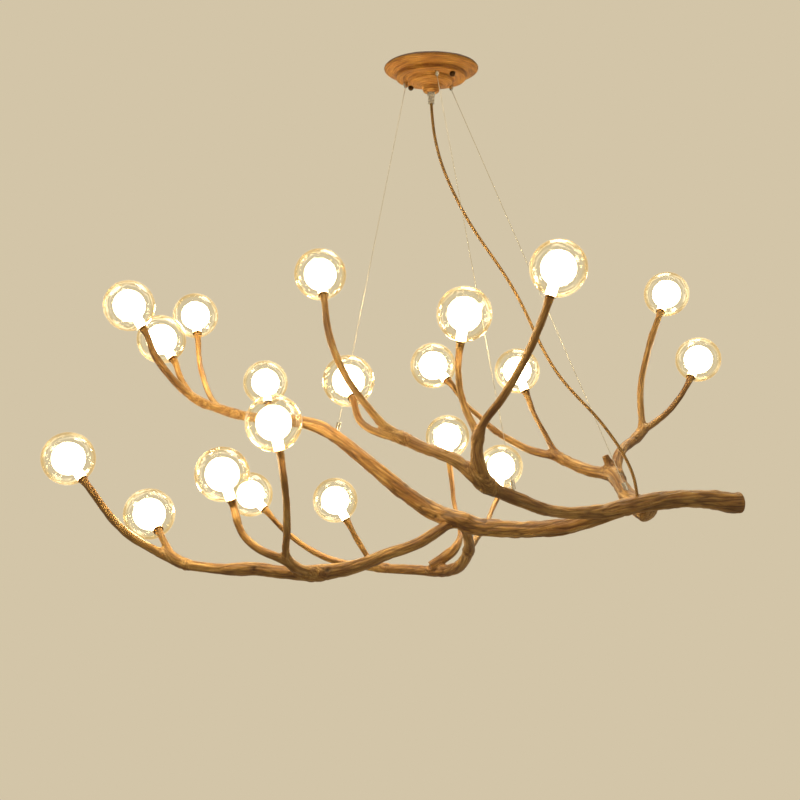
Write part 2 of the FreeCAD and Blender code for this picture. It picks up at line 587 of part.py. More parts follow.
along = Rotation(Vector(0, 0, 1), size("stud_angle"))
block_foot = "-Sizes.bracket_thickness - Sizes.block_height"
block_blank = solid("Box", "block_blank", ("Sizes.block_offset", "-Sizes.block_width / 2", block_foot),
                    Length="Sizes.block_length", Width="Sizes.block_width",
                    Height="Sizes.block_height")
wells = []
screws = []
for pole in (-1, 0, 1):
    centre = ("Sizes.block_offset + Sizes.block_length / 2", "%d * Sizes.block_pitch" % pole)
    wells.append(solid("Cylinder", "well", centre + (block_foot + " - Sizes.overrun",),
                       Radius="Sizes.block_screw_diameter / 2 + Sizes.running_gap",
                       Height="Sizes.block_height / 2 + Sizes.overrun"))
    screws.append(solid("Cylinder", "clamp_screw", centre + (block_foot + " - Sizes.block_screw_head",),
                        Radius="Sizes.block_screw_diameter / 2",
                        Height="Sizes.block_height / 2 + Sizes.block_screw_head"))
block = cut("block_template", block_blank, fuse("wells", *wells))
turned = [Placement(Vector(), along)]
nodes.append(copies("terminal_block", block, turned))
nodes.append(copies("terminal_screws", fuse("screws_template", *screws), turned))
tail_foot = size("grip_thread_length") - size("canopy_height")
tail = solid("Cylinder", "tail_template", (None, None, "-%s + Sizes.grip_thread_length" % NOSE),
             Radius="Sizes.cord_diameter / 2", Height="Sizes.tail_length")
nodes.append(copies("cord_tail", tail, [Placement()]))
tail_top = tail_foot + size("tail_length")
entry_height = -size("bracket_thickness") - size("block_height") / 2
core_rise = entry_height - tail_top
core_offset = size("cord_diameter") / 2 - size("core_diameter")
cores = []
for pole in (-1, 0, 1):
    start = Vector(-core_offset * (1 - abs(pole)), core_offset * pole, tail_top)
    route = [
        start,
        start + Vector(0, 0, 0.4 * core_rise),
        Vector(size("block_offset") * 0.35, pole * size("block_pitch"), entry_height),
        Vector(size("block_offset") - size("running_gap"), pole * size("block_pitch"),
               entry_height),
    ]
    cores.append(tube([along.multVec(point) for point in route], size("core_diameter"), "core"))
nodes.append(node("cord_cores", Part.makeCompound(cores)))

# Boughs: each limb is a loft through rings that stand square to a smooth line


def globe_place(number):
    """Where a globe's holder stands: its origin on the stem's tip, Z to the globe."""
    shares = GLOBE_SHARES[number - 1]
    centre = lifted(*shares[:3])
    tip = lifted(*shares[3:])
    return Placement(tip, Rotation(Vector(0, 0, 1), centre - tip))


def ringed(points, girths, straight_end=None):
    """A solid through round rings on a smooth line; its last two may stand straight."""
    line = Part.BSplineCurve()
    line.interpolate(points)
    rings = []
    turn = Rotation()
    heading = Vector(0, 0, 1)
    for index, (point, girth) in enumerate(zip(points, girths)):
        ahead = line.tangent(line.parameter(point))[0]
        if straight_end and index >= len(points) - 2:
            ahead = straight_end
        turn = Rotation(heading, ahead).multiply(turn)
        heading = ahead
        ring = Part.Wire([Part.makeCircle(girth / 2)])
        ring.Placement = Placement(point, turn)
        rings.append(ring)
    return Part.makeLoft(rings, True, False)


def limb(rows, globe):
    """A tapering limb along a table's rows, with a straight flared end at a globe."""
    points = [lifted(*row[:3]) for row in rows]
    girths = [row[3] * size("bough_girth") for row in rows]
    up = None
    if globe:
        tip = globe_place(globe)
        up = tip.Rotation.multVec(Vector(0, 0, 1))
        points += [tip.Base - up * size("stem_tip_length"), tip.Base]
        girths += [size("stem_tip_diameter") * 0.88, size("stem_tip_diameter")]
    return ringed(points, girths, up)


def lead(rows, globe, diameter):
    """A round lead, or its bore, along a limb's line to the foot of its lamp holder."""
    points = [lifted(*row[:3]) for row in rows]
    tip = globe_place(globe)
    up = tip.Rotation.multVec(Vector(0, 0, 1))
    points += [tip.Base - up * size("stem_tip_length"), tip.Base - up * size("holder_spigot")]
    return ringed(points, [diameter] * len(points), up)


def bough(limbs):
    """A bough's limbs as one solid, each stem bored for its lamp holder."""
    solids = [limb(rows, globe) for rows, globe in limbs]
    shape = solids[0].multiFuse(solids[1:])
    for _, globe in limbs:
        if globe:
            shape = shape.cut(socket_shape(globe))
    return shape


def socket_shape(globe):
    """The bore in a stem's tip."""
    radius = size("holder_spigot_diameter") / 2 + size("running_gap")
    bore = Part.makeCylinder(radius, size("holder_spigot") + size("overrun"),
                             Vector(0, 0, -size("holder_spigot")))
    bore.Placement = globe_place(globe)
    return bore


def dowel(places):
    """A steel pin between two boughs, beside the leads."""
    start = lifted(*places[:3])
    end = lifted(*places[3:])
    return Part.makeCylinder(size("dowel_diameter") / 2, (end - start).Length, start, end - start)


front = bough(FRONT_SHARES)
main = bough(MAIN_SHARES)
lower = bough(LOWER_SHARES)
hooked = bough(HOOKED_SHARES)
rear = bough(REAR_SHARES)
dowels = [dowel(places) for places in DOWEL_SHARES]

# Leads: a bundle from the cord's end along the middle of the boughs to every holder

LEAD_LIMBS = {
    # the limbs' rows and globes, less the rows before the cord comes in
    "front_bough": (
        (FRONT_SHARES[0][0][6:], 4), FRONT_SHARES[1],
        (FRONT_SHARES[2][0] + FRONT_SHARES[3][0][1:], 9), FRONT_SHARES[4]),
    "main_bough": MAIN_SHARES,
    "lower_bough": LOWER_SHARES,
    "hooked_bough": HOOKED_SHARES,
    "rear_bough": (
        (REAR_LEAD_SHARES + REAR_SHARES[0][0][2:], 8), *REAR_SHARES[1:4]),
}
CARRIED = {
    "front_bough": ("main_bough", "rear_bough"),
    "main_bough": ("lower_bough", "hooked_bough"),
}
leads = []
bores = {}
for name, limbs in LEAD_LIMBS.items():
    leads += [lead(rows, globe, size("lead_diameter")) for rows, globe in limbs]
    bores[name] = [lead(rows, globe, size("lead_bore")) for rows, globe in limbs]
harness = leads[0].multiFuse(leads[1:])
print("harness solids", len(harness.Solids), "volume", round(harness.Volume), harness.isValid())

# Wires from the grippers to their anchors, and the anchors' barrels and screws

WIRES = {
    "left": LEFT_ANCHOR_SHARES,
    "front": FRONT_ANCHOR_SHARES,
    "right": RIGHT_ANCHOR_SHARES,
}
wire_top = size("shelf_depth") + size("gripper_length") + size("plunger_reach")
wires = {}
anchors = []
for side, place in WIRES.items():
    top = spot("gripper_circle", "gripper_%s_angle" % side, wire_top - size("wire_entry"))
    foot = lifted(*place)
    rise = (top - foot).normalize()
    barrel_top = foot + rise * size("anchor_length")
    wires[side] = Part.makeCylinder(size("wire_diameter") / 2, (top - barrel_top).Length,
                                    barrel_top, rise)
    shank = Part.makeCylinder(size("anchor_diameter") / 2, size("anchor_length"), foot, rise)
    screw = Part.makeCylinder(size("anchor_pin_diameter") / 2, size("anchor_pin_length"),
                              foot, -rise)
    hole = Part.makeCylinder(size("anchor_hole") / 2, size("anchor_diameter"),
                             foot + rise * size("anchor_length") * 0.55
                             - Vector(0, size("anchor_diameter"), 0), Vector(0, 1, 0))
    anchors.append(shank.fuse(screw).removeSplitter().cut(hole))
    print(side, "wire", [round(value, 1) for value in barrel_top], [round(value, 1) for value in top])

# Power cord: hangs from the grip and runs into the top of the front bough

CORD_ROUTE = (
    # millimetres in the part's frame
    (0, 0, -73), (2, -1, -108), (8, -3, -152), (21, -7, -203), (43, -14, -257),
    (71, -20, -313), (100, -28, -360), (131, -37, -406), (159, -47, -452), (181, -58, -497),
    (199, -69, -541), (219, -82, -587), (246, -94, -633), (277, -106, -670),
    (308, -117, -703), (334, -126, -738), (356, -134, -772), (372, -140, -806),
    (380, -144, -836), (383, -146, -868),
)
cord_points = [Vector(*point) for point in CORD_ROUTE]
power_cord = tube(cord_points, size("cord_diameter"), "power cord")
inward = (cord_points[-1] - cord_points[-2]).normalize()
mouth_depth = 2 * size("cord_sink")
cord_bore = Part.makeCylinder(size("cord_diameter") / 2 + size("running_gap"), mouth_depth,
                              cord_points[-1] - inward * mouth_depth, inward)

# Each bough is fitted to the one that carries it, and takes its dowel and anchor

main = main.cut(front)
lower = lower.cut(main)
hooked = hooked.cut(main).cut(lower)
rear = rear.cut(front)
front = front.cut(cord_bore)
boughs = {
    "front_bough": front.cut(Part.makeCompound([dowels[0], dowels[3], anchors[1]])),
    "main_bough": main.cut(Part.makeCompound(dowels[:3] + [anchors[0]])),
    "lower_bough": lower.cut(dowels[1]),
    "hooked_bough": hooked.cut(dowels[2]),
    "rear_bough": rear.cut(Part.makeCompound([dowels[3], anchors[2]])),
}
for name in boughs:
    entering = [bores[carried][0] for carried in CARRIED.get(name, ())]
    for bore in bores[name] + entering:
        boughs[name] = boughs[name].cut(bore)
    # crumbs of wood between two crossing bores fall out
    boughs[name] = max(boughs[name].Solids, key=lambda piece: piece.Volume)
for name, shape in boughs.items():
    print(name, "solids", len(shape.Solids), "volume", round(shape.Volume), "valid", shape.isValid())
    nodes.append(node(name, shape))
nodes.append(node("bough_dowels", Part.makeCompound(dowels)))
nodes.append(node("lead_harness", harness))
nodes.append(node("wire_anchors", Part.makeCompound(anchors)))
for side in GRIPPERS:
    nodes.append(node(side + "_wire", wires[side]))
nodes.append(node("power_cord", power_cord))

# Lamp holders in the stem tips and the LED capsules that stand in them

spigot = solid("Cylinder", "spigot", (None, None, "-Sizes.holder_spigot"),
               Radius="Sizes.holder_spigot_diameter / 2", Height="Sizes.holder_spigot")
flange = solid("Cylinder", "flange", (None, None, None),
               Radius="Sizes.holder_flange_diameter / 2", Height="Sizes.holder_flange")
boss = solid("Cylinder", "boss", (None, None, "Sizes.holder_flange"),
             Radius="Sizes.holder_boss_diameter / 2", Height="Sizes.holder_boss")
holder = fuse("holder_template", spigot, flange, boss)
globe_places = [globe_place(number) for number in range(1, len(GLOBE_SHARES) + 1)]
nodes.append(copies("lamp_holders", holder, globe_places))
CAPSULE_FOOT = "Sizes.holder_flange + Sizes.holder_boss"
dome_height = "Sizes.capsule_length - Sizes.capsule_diameter / 2"
capsule_side = solid("Cylinder", "capsule_side", (None, None, CAPSULE_FOOT),
                     Radius="Sizes.capsule_diameter / 2", Height=dome_height)
dome = solid("Sphere", "capsule_dome", (None, None, "%s + %s" % (CAPSULE_FOOT, dome_height)),
             Radius="Sizes.capsule_diameter / 2")
capsule = fuse("capsule_template", capsule_side, dome)
nodes.append(copies("led_capsules", capsule, globe_places))

# Bubble globes: a clear bubble and a frosted ball, joined by one neck whose mouth stands
# on the lamp holder's collar

SEAT = "(Sizes.holder_flange + Sizes.free_gap)"
NECK = "(Sizes.neck_diameter / 2)"
CENTRE = "%s + sqrt((Sizes.globe_diameter / 2) ^ 2 - %s ^ 2)" % (SEAT, NECK)
bubble = solid("Sphere", "bubble", (None, None, CENTRE), Radius="Sizes.globe_diameter / 2")
bubble_inside = solid("Sphere", "bubble_inside", (None, None, CENTRE),
                      Radius="Sizes.globe_diameter / 2 - Sizes.glass_wall")
neck = solid("Cylinder", "neck", (None, None, SEAT), Radius=NECK,
             Height="%s - %s" % (CENTRE, SEAT))
frosted = solid("Sphere", "frosted", (None, None, CENTRE), Radius="Sizes.inner_ball_diameter / 2")
frosted_inside = solid("Sphere", "frosted_inside", (None, None, CENTRE),
                       Radius="Sizes.inner_ball_diameter / 2 - Sizes.glass_wall")
neck_inside = solid("Cylinder", "neck_inside", (None, None, None),
                    Radius=NECK + " - Sizes.glass_wall", Height=CENTRE)
trim = solid("Cylinder", "trim", (None, None, "-Sizes.overrun"),
             Radius=NECK + " + Sizes.overrun", Height="%s + Sizes.overrun" % SEAT)
skin = cut("bubble_skin", bubble, bubble_inside)
glass = fuse("glass_blank", skin, neck, frosted)
hollow = fuse("glass_hollow", frosted_inside, neck_inside, trim)
globe = cut("globe_template", glass, hollow)
doc.recompute()
for number, place in enumerate(globe_places, start=1):
    bubble_globe = globe.Shape.copy()
    bubble_globe.Placement = place.multiply(bubble_globe.Placement)
    nodes.append(node("globe_%02d" % number, bubble_globe))

# Every object and every piece is sound before anything is written

doc.recompute()
for item in doc.Objects:
    faults = {"Invalid", "Error"} & set(item.State)
    if faults:
        raise RuntimeError("%s: %s" % (item.Label, ", ".join(faults)))
for piece in nodes:
    if piece.Shape.isNull() or not piece.Shape.isValid() or not piece.Shape.Solids:
        raise RuntimeError(piece.Label + " has no sound shape")
os.makedirs("parts", exist_ok=True)
for piece in nodes:
    piece.Shape.exportStep("parts/%s.step" % piece.Label)
print(len(nodes), "nodes")
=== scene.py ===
# Bubble chandelier: five peeled boughs hang on three wires from a turned canopy and
# carry twenty double glass bubbles. Metres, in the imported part's frame: +X to the
# right, +Y away from the viewer, +Z up, the origin in the ceiling plane.
import math

import bpy
import numpy as np
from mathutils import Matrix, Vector


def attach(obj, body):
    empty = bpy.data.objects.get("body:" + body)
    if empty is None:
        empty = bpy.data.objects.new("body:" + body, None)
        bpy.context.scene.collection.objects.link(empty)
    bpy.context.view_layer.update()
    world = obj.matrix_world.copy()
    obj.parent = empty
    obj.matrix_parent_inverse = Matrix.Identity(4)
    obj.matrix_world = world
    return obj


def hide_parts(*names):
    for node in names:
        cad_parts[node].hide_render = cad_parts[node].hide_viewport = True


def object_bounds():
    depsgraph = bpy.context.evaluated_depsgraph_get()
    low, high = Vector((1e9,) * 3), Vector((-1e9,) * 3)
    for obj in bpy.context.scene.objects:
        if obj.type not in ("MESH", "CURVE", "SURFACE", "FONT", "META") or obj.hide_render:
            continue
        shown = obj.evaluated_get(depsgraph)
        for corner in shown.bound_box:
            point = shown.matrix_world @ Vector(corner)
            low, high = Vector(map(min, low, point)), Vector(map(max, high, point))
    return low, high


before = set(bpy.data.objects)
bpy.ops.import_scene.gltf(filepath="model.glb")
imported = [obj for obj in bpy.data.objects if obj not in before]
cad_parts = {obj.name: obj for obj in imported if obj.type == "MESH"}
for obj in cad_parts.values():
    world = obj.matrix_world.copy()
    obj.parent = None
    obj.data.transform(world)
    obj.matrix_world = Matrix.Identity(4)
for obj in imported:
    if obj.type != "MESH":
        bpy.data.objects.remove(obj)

cad_box = [list(corner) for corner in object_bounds()]

# Camera
# The viewer stands two metres in front of the canopy, a little to its left, and
# looks level along +Y through a 45 mm lens.

EYE = (-0.063, -2.020, -0.675)

viewer = bpy.data.cameras.new("viewer")
viewer.lens = 45
viewer.sensor_width = 36
eye = bpy.data.objects.new("viewer", viewer)
bpy.context.scene.collection.objects.link(eye)
eye.location = EYE
eye.rotation_euler = (math.radians(90), 0, 0)
bpy.context.scene.camera = eye

# Ceiling bracket
# A bar of zinc-plated steel sheet, stamped, screwed to the ceiling. Its studs, their
# lock nuts and the grippers' nuts are plated the same way.


def linear(code):
    """The linear colour of an sRGB hex value."""
    shares = [int(code[place:place + 2], 16) / 255 for place in (1, 3, 5)]
    straight = [share / 12.92 if share <= 0.04045 else ((share + 0.055) / 1.055) ** 2.4
                for share in shares]
    return (*straight, 1)


def add(material, kind, sockets=None, stops=(), output=0, **settings):
    """Adds a node: its settings, its sockets' values or the outputs that feed them,
    and the (place, colour) stops of a colour ramp. Returns the output asked for."""
    made = material.node_tree.nodes.new("ShaderNode" + kind)
    for name, value in settings.items():
        setattr(made, name, value)
    for name, value in (sockets or {}).items():
        if isinstance(value, bpy.types.NodeSocket):
            material.node_tree.links.new(value, made.inputs[name])
        else:
            made.inputs[name].default_value = value
    for index, (place, colour) in enumerate(stops):
        elements = made.color_ramp.elements
        element = elements[index] if index < 2 else elements.new(place)
        element.position = place
        element.color = linear(colour)
    return made.outputs[output] if made.outputs else made


def new_material(name):
    """An empty node material."""
    material = bpy.data.materials.new(name)
    material.use_nodes = True
    material.node_tree.nodes.clear()
    return material


def dress(material, *nodes):
    """Puts a material on CAD nodes that keep their own shape."""
    for name in nodes:
        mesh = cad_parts[name].data
        mesh.materials.clear()
        mesh.materials.append(material)


# Bright zinc plate: a cool grey metal with cloudy spangle about 4 mm across and fine
# rolling lines, so its gloss breaks up from patch to patch.
zinc = new_material("zinc_plated_steel")
place = add(zinc, "TexCoord", output="Object")
spangle = add(zinc, "TexVoronoi", {"Vector": place, "Scale": 250.0})
cloud = add(zinc, "TexNoise", {"Vector": place, "Scale": 90.0, "Detail": 4.0})
shade = add(zinc, "ValToRGB", {"Fac": cloud}, stops=((0.3, "#9EA2A5"), (0.7, "#C6C9CB")))
dull = add(zinc, "MapRange", {"Value": spangle, "To Min": 0.28, "To Max": 0.46})
zinc_bump = add(zinc, "Bump", {"Height": cloud, "Strength": 0.1, "Distance": 0.0002})
metal = add(zinc, "BsdfPrincipled", {"Base Color": shade, "Metallic": 1.0,
                                     "Roughness": dull, "Normal": zinc_bump})
add(zinc, "OutputMaterial", {"Surface": metal})
dress(zinc, "ceiling_bracket", "canopy_studs", "stud_lock_nuts", "gripper_nuts",
      "bough_dowels")

# Canopy cover
# A saucer turned on a lathe, with a flat shelf for the nuts and grippers and a nose
# for the cord grip. Stained and brushed like the boughs, with painted shade on its upper rim.

CANOPY_STEPS = 168
CANOPY_OUTLINE = (
    # radius and depth below the ceiling, in millimetres, from the rim to the nose: the
    # packed cover's corners, with the beads and hollows of its ring steps between them
    (86.9, 0), (92.2, 2.4), (95, 5.9), (93.6, 8.9), (91, 10.6), (88.4, 11.6), (86.2, 11.9),
    (84.6, 12.8), (81.7, 13.5), (78.9, 14), (77.6, 15), (74.1, 15.7), (71.6, 17.2), (70.8, 18.4),
    (70.5, 23.2), (70.2, 26), (69.2, 27), (60, 27), (52, 27), (48.7, 27), (47, 27.7),
    (45.6, 29.7), (43.2, 34.3), (40.4, 35.6), (36.1, 37.3), (34.4, 37.3), (32.8, 38),
    (28, 38.8), (25.7, 39.2), (23.4, 40.1), (19.5, 42.7), (17.1, 47.5), (15.2, 52.1),
    (13.8, 54), (10, 54), (5.1, 54),
)
SHELF_DEPTH = 27
NOSE_DEPTH = 54
NOSE_FLOOR = 6
CANOPY_WALL = 4
CARVING_HEIGHT = 0.5
CARVING_SINK = 0.42
COARSE_SHARE = 0.65
PLAIN_STAIN = 0.45
SHELF_HALF_BAND = 0.6
SHELF_CARVING_SHARE = 0.25
RIM_FADE = 5
NOSE_FADE = 12


def surface(rings, loop=False, poles=(False, False)):
    """Points and faces over rings of points, shape (rings, points, 3). Each ring is
    closed. A loop joins the last ring to the first; a pole closes an end with a fan to
    the ring's middle. Where the signed volume is negative, every face is turned."""
    count, around = rings.shape[:2]
    vertices = rings.reshape(-1, 3)
    row = np.arange(count if loop else count - 1)[:, None] * around
    step = np.arange(around)[None, :]
    ahead = (step + 1) % around
    above = (row + around) % (count * around)
    faces = np.stack([row + step, row + ahead, above + ahead, above + step], axis=-1)
    faces = faces.reshape(-1, 4).tolist()
    for end, wanted in zip((0, count - 1), poles):
        if wanted:
            middle = len(vertices)
            vertices = np.vstack([vertices, rings[end].mean(axis=0)])
            fan = np.stack([end * around + ahead[0], end * around + step[0],
                            np.full(around, middle)], axis=-1)
            faces += (fan if end == 0 else fan[:, ::-1]).tolist()
    corners = np.array([face[:3] for face in faces]
                       + [(face[0], face[2], face[3]) for face in faces if len(face) == 4])
    first, second, third = (vertices[corners[:, index]] for index in range(3))
    if np.einsum("ij,ij->", first, np.cross(second, third)) < 0:
        faces = [face[::-1] for face in faces]
    return vertices, faces


def skin(name, rings, loop=False, poles=(False, False)):
    """A smooth mesh over rings of points."""
    vertices, faces = surface(rings, loop, poles)
    mesh = bpy.data.meshes.new(name)
    mesh.from_pydata(vertices.tolist(), [], faces)
    mesh.shade_smooth()
    return mesh


def piece(name, mesh, material, body, slot, *replaced):
    """A finished piece in the scene: its material, the body it rides on, a slot name,
    which is not used, and the CAD nodes that it stands for."""
    made = bpy.data.objects.new(name, mesh)
    bpy.context.scene.collection.objects.link(made)
    mesh.materials.clear()
    mesh.materials.append(material)
    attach(made, body)
    if replaced:
        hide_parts(*replaced)
    return made


def eased(outline, rounds, closed=False):
    """An outline with its corners cut: each edge keeps its middle half, each round."""
    for _ in range(rounds):
        following = np.roll(outline, -1, axis=0) if closed else outline[1:]
        edge = outline if closed else outline[:-1]
        near = edge * 0.75 + following * 0.25
        far = edge * 0.25 + following * 0.75
        cut = np.stack([near, far], axis=1).reshape(-1, outline.shape[1])
        outline = cut if closed else np.vstack([outline[:1], cut, outline[-1:]])
    return outline


def turned(outline, steps):
    """Rings of an outline in radius and height carried round Z."""
    turn = np.arange(steps) * (2 * math.pi / steps)
    radius, height = outline[:, :1], outline[:, 1:]
    return np.stack([radius * np.cos(turn), radius * np.sin(turn),
                     np.repeat(height, steps, axis=1)], axis=-1)


LATTICE_TURN = np.array([(0.60, 0.64, 0.48), (-0.80, 0.48, 0.36), (0.0, -0.60, 0.80)])
# large odd numbers that mix a lattice corner's place and the seed into one key
CORNER_KEYS = (73856093, 19349663, 83492791)
SEED_KEY = 7919
MIXING_KEY = 1274126177
NOISE_GAIN = 1.7


def scatter(places, seed):
    """Smooth noise, about -1 to 1: a random slope on each corner of a turned lattice of
    unit cubes, blended across each cube by the curve 6t^5 - 15t^4 + 10t^3."""
    places = places @ LATTICE_TURN
    cell = np.floor(places).astype(np.int64)
    part = places - cell
    ease = part ** 3 * (part * (part * 6 - 15) + 10)
    total = np.zeros(len(places))
    for corner in np.ndindex(2, 2, 2):
        key = ((cell + corner) * CORNER_KEYS).sum(axis=1) + seed * SEED_KEY
        key = (key ^ (key >> 13)) * MIXING_KEY
        key = key ^ (key >> 16)
        slopes = np.stack([(key >> shift & 1023) / 511.5 - 1 for shift in (0, 10, 20)], axis=1)
        value = (slopes * (part - corner)).sum(axis=1)
        total += value * np.prod(np.where(corner, ease, 1 - ease), axis=1)
    return total * NOISE_GAIN


# Turned and stained wood: brushed rings with golden crests and brown grooves from the
# carved relief, fine fibres between them and cloudy stain, under a satin oil. Its upper
# edge, against the ceiling, is darkened with painted shade.
turned_wood = new_material("turned_stained_wood")
place = add(turned_wood, "TexCoord", output="Object")
carved = add(turned_wood, "Attribute", output="Fac", attribute_name="carved")
warp = add(turned_wood, "TexNoise", {"Vector": place, "Scale": 30.0, "Detail": 3.0})
fibre = add(turned_wood, "TexWave", {"Vector": place, "Scale": 300.0, "Distortion": 9.0,
                                     "Detail": 4.0, "Detail Scale": 1.6},
            wave_type="RINGS", rings_direction="Z")
pores = add(turned_wood, "TexNoise", {"Vector": place, "Scale": 900.0, "Detail": 2.0})
stain_and_painted_shade = add(turned_wood, "ValToRGB", {"Fac": carved},
            stops=((0.14, "#80500F"), (0.9, "#F0C06A"), (0.38, "#B67D24"), (0.62, "#D89E3E")))
fine = add(turned_wood, "ValToRGB", {"Fac": fibre}, stops=((0.2, "#CFA76E"), (0.75, "#FFFFFF")))
stain_and_painted_shade = add(turned_wood, "MixRGB", {"Fac": 0.55, "Color1": stain_and_painted_shade, "Color2": fine},
            blend_type="MULTIPLY")
cloudy = add(turned_wood, "ValToRGB", {"Fac": warp}, stops=((0.35, "#D3B07A"), (0.62, "#FFFFFF")))
stain_and_painted_shade = add(turned_wood, "MixRGB", {"Fac": 0.5, "Color1": stain_and_painted_shade, "Color2": cloudy},
            blend_type="MULTIPLY")
# painted shade: the bevel within 4.5 mm of the ceiling is darkened to dark brown, fading out by 7.5
# mm
level = add(turned_wood, "SeparateXYZ", {"Vector": place}, output="Z")
edge = add(turned_wood, "MapRange", {"Value": level, "From Min": -0.0075, "From Max": -0.0045})
stain_and_painted_shade = add(turned_wood, "MixRGB", {"Fac": edge, "Color1": stain_and_painted_shade, "Color2": linear("#4A2B0C")})
gloss = add(turned_wood, "MapRange", {"Value": pores, "To Min": 0.42, "To Max": 0.6})
height = add(turned_wood, "MixRGB", {"Fac": 0.35, "Color1": fibre, "Color2": pores})
tool = add(turned_wood, "Bump", {"Height": height, "Strength": 0.5, "Distance": 0.0005})
wood = add(turned_wood, "BsdfPrincipled", {"Base Color": stain_and_painted_shade, "Roughness": gloss,
                                           "IOR": 1.5, "Normal": tool})
add(turned_wood, "OutputMaterial", {"Surface": wood})

outside = eased(np.array(CANOPY_OUTLINE, float) * (1, -1), 3)
along = np.cumsum(np.r_[0, np.hypot(*np.diff(outside, axis=0).T)])
slope = np.gradient(outside, along, axis=0)
facing = np.stack([slope[:, 1], -slope[:, 0]], axis=1)
depth = -outside[::-1, 1]
above = depth * (SHELF_DEPTH - CANOPY_WALL) / SHELF_DEPTH
below = SHELF_DEPTH - CANOPY_WALL + (depth - SHELF_DEPTH) * (
    (NOSE_DEPTH - SHELF_DEPTH - NOSE_FLOOR + CANOPY_WALL) / (NOSE_DEPTH - SHELF_DEPTH))
inside = np.stack([np.clip(outside[::-1, 0] - CANOPY_WALL, outside[-1, 0], None),
                   -np.where(depth < SHELF_DEPTH, above, below)], axis=1)
shell_rings = turned(outside, CANOPY_STEPS)
reach = np.repeat(along[:, None], CANOPY_STEPS, axis=1)
around = shell_rings[..., :2]


def brushing(across, width, drift, seed):
    """Noise over the shell: so many millimetres wide across it, and from ring to ring."""
    places = np.concatenate([around / across, (reach + drift)[..., None] / width], axis=-1)
    return scatter(places.reshape(-1, 3), seed).reshape(reach.shape)


wander = brushing(34, 14, 0, 3) * 1.1
carving = brushing(30, 2.6, wander, 7) * COARSE_SHARE
carving = carving + brushing(16, 1.2, wander, 9) * (1 - COARSE_SHARE)
on_shelf = np.abs(outside[:, 1] + SHELF_DEPTH) < SHELF_HALF_BAND
seat = np.where(on_shelf, SHELF_CARVING_SHARE, 1.0)
seat *= np.clip(along / RIM_FADE, 0, 1) * np.clip((along[-1] - along) / NOSE_FADE, 0, 1)
spoke = around / outside[:, :1, None]
sink = (carving * CARVING_HEIGHT - CARVING_SINK) * seat[:, None]
shell_rings[..., :2] += spoke * (facing[:, :1] * sink)[..., None]
shell_rings[..., 2] += facing[:, 1:] * sink
canopy_mesh = skin("canopy_cover_turned",
                   np.concatenate([shell_rings, turned(inside, CANOPY_STEPS)]) / 1000, loop=True)
layer = canopy_mesh.attributes.new("carved", "FLOAT", "POINT")
plain = np.full(len(inside) * CANOPY_STEPS, PLAIN_STAIN)
layer.data.foreach_set("value", np.r_[(carving * 0.5 + 0.5).ravel(), plain].astype(np.float32))
piece("canopy_cover_turned", canopy_mesh, turned_wood, "canopy", "turned_wood", "canopy_cover")

# Ball nuts
# Two domed nuts of blackened bronze, turned and lacquered, are screwed on to the studs'
# ends and hold the cover up against the ceiling.

# Dark bronze, lacquered: nearly black with brown where the lacquer thins.
bronze = new_material("blackened_bronze")
place = add(bronze, "TexCoord", output="Object")
patina = add(bronze, "TexNoise", {"Vector": place, "Scale": 400.0, "Detail": 5.0})
shade = add(bronze, "ValToRGB", {"Fac": patina}, stops=((0.3, "#2A1C12"), (0.7, "#5A4128")))
dull = add(bronze, "MapRange", {"Value": patina, "To Min": 0.25, "To Max": 0.45})
metal = add(bronze, "BsdfPrincipled", {"Base Color": shade, "Metallic": 1.0, "Roughness": dull})
add(bronze, "OutputMaterial", {"Surface": metal})
dress(bronze, "ball_nuts")

# Wire grippers
# Nickel-plated barrels under the shelf, each with a sprung plunger that lets its wire
# go when it is pressed up. The anchors on the boughs are turned and plated alike.

# Polished nickel plate: a warm bright metal with fine turning lines round each barrel.
nickel = new_material("polished_nickel_plate")
place = add(nickel, "TexCoord", output="Object")
lines = add(nickel, "TexWave", {"Vector": place, "Scale": 900.0, "Distortion": 1.5,
                                "Detail": 2.0}, wave_type="BANDS", bands_direction="Z")
smear = add(nickel, "TexNoise", {"Vector": place, "Scale": 300.0, "Detail": 3.0})
shade = add(nickel, "ValToRGB", {"Fac": smear}, stops=((0.3, "#B9B3A6"), (0.7, "#DAD5C9")))
dull = add(nickel, "MapRange", {"Value": smear, "To Min": 0.12, "To Max": 0.26})
turning = add(nickel, "Bump", {"Height": lines, "Strength": 0.12, "Distance": 0.0001})
metal = add(nickel, "BsdfPrincipled", {"Base Color": shade, "Metallic": 1.0,
                                       "Roughness": dull, "Normal": turning})
add(nickel, "OutputMaterial", {"Surface": metal})
dress(nickel, "wire_grippers", "left_release_plunger", "front_release_plunger",
      "right_release_plunger", "wire_anchors")

# Terminal block
# A moulded block of white plastic on the bracket joins the supply to the cord's three
# cores; its clamp screws are plated steel.

# Injection-moulded polyamide: off-white, faintly mottled, with a soft sheen.
polyamide = new_material("moulded_white_polyamide")
place = add(polyamide, "TexCoord", output="Object")
mottle = add(polyamide, "TexNoise", {"Vector": place, "Scale": 700.0, "Detail": 3.0})
shade = add(polyamide, "ValToRGB", {"Fac": mottle}, stops=((0.3, "#D9D8D2"), (0.7, "#EAE9E4")))
grain = add(polyamide, "Bump", {"Height": mottle, "Strength": 0.15, "Distance": 0.0001})
plastic = add(polyamide, "BsdfPrincipled", {"Base Color": shade, "Roughness": 0.42,
                                            "IOR": 1.53, "Normal": grain})
add(polyamide, "OutputMaterial", {"Surface": plastic})
dress(polyamide, "terminal_block")
dress(zinc, "terminal_screws")

# Cord grip
# A moulded grip of clear nylon screwed up through the nose, with its nut inside, holds
# the cord by its braid.

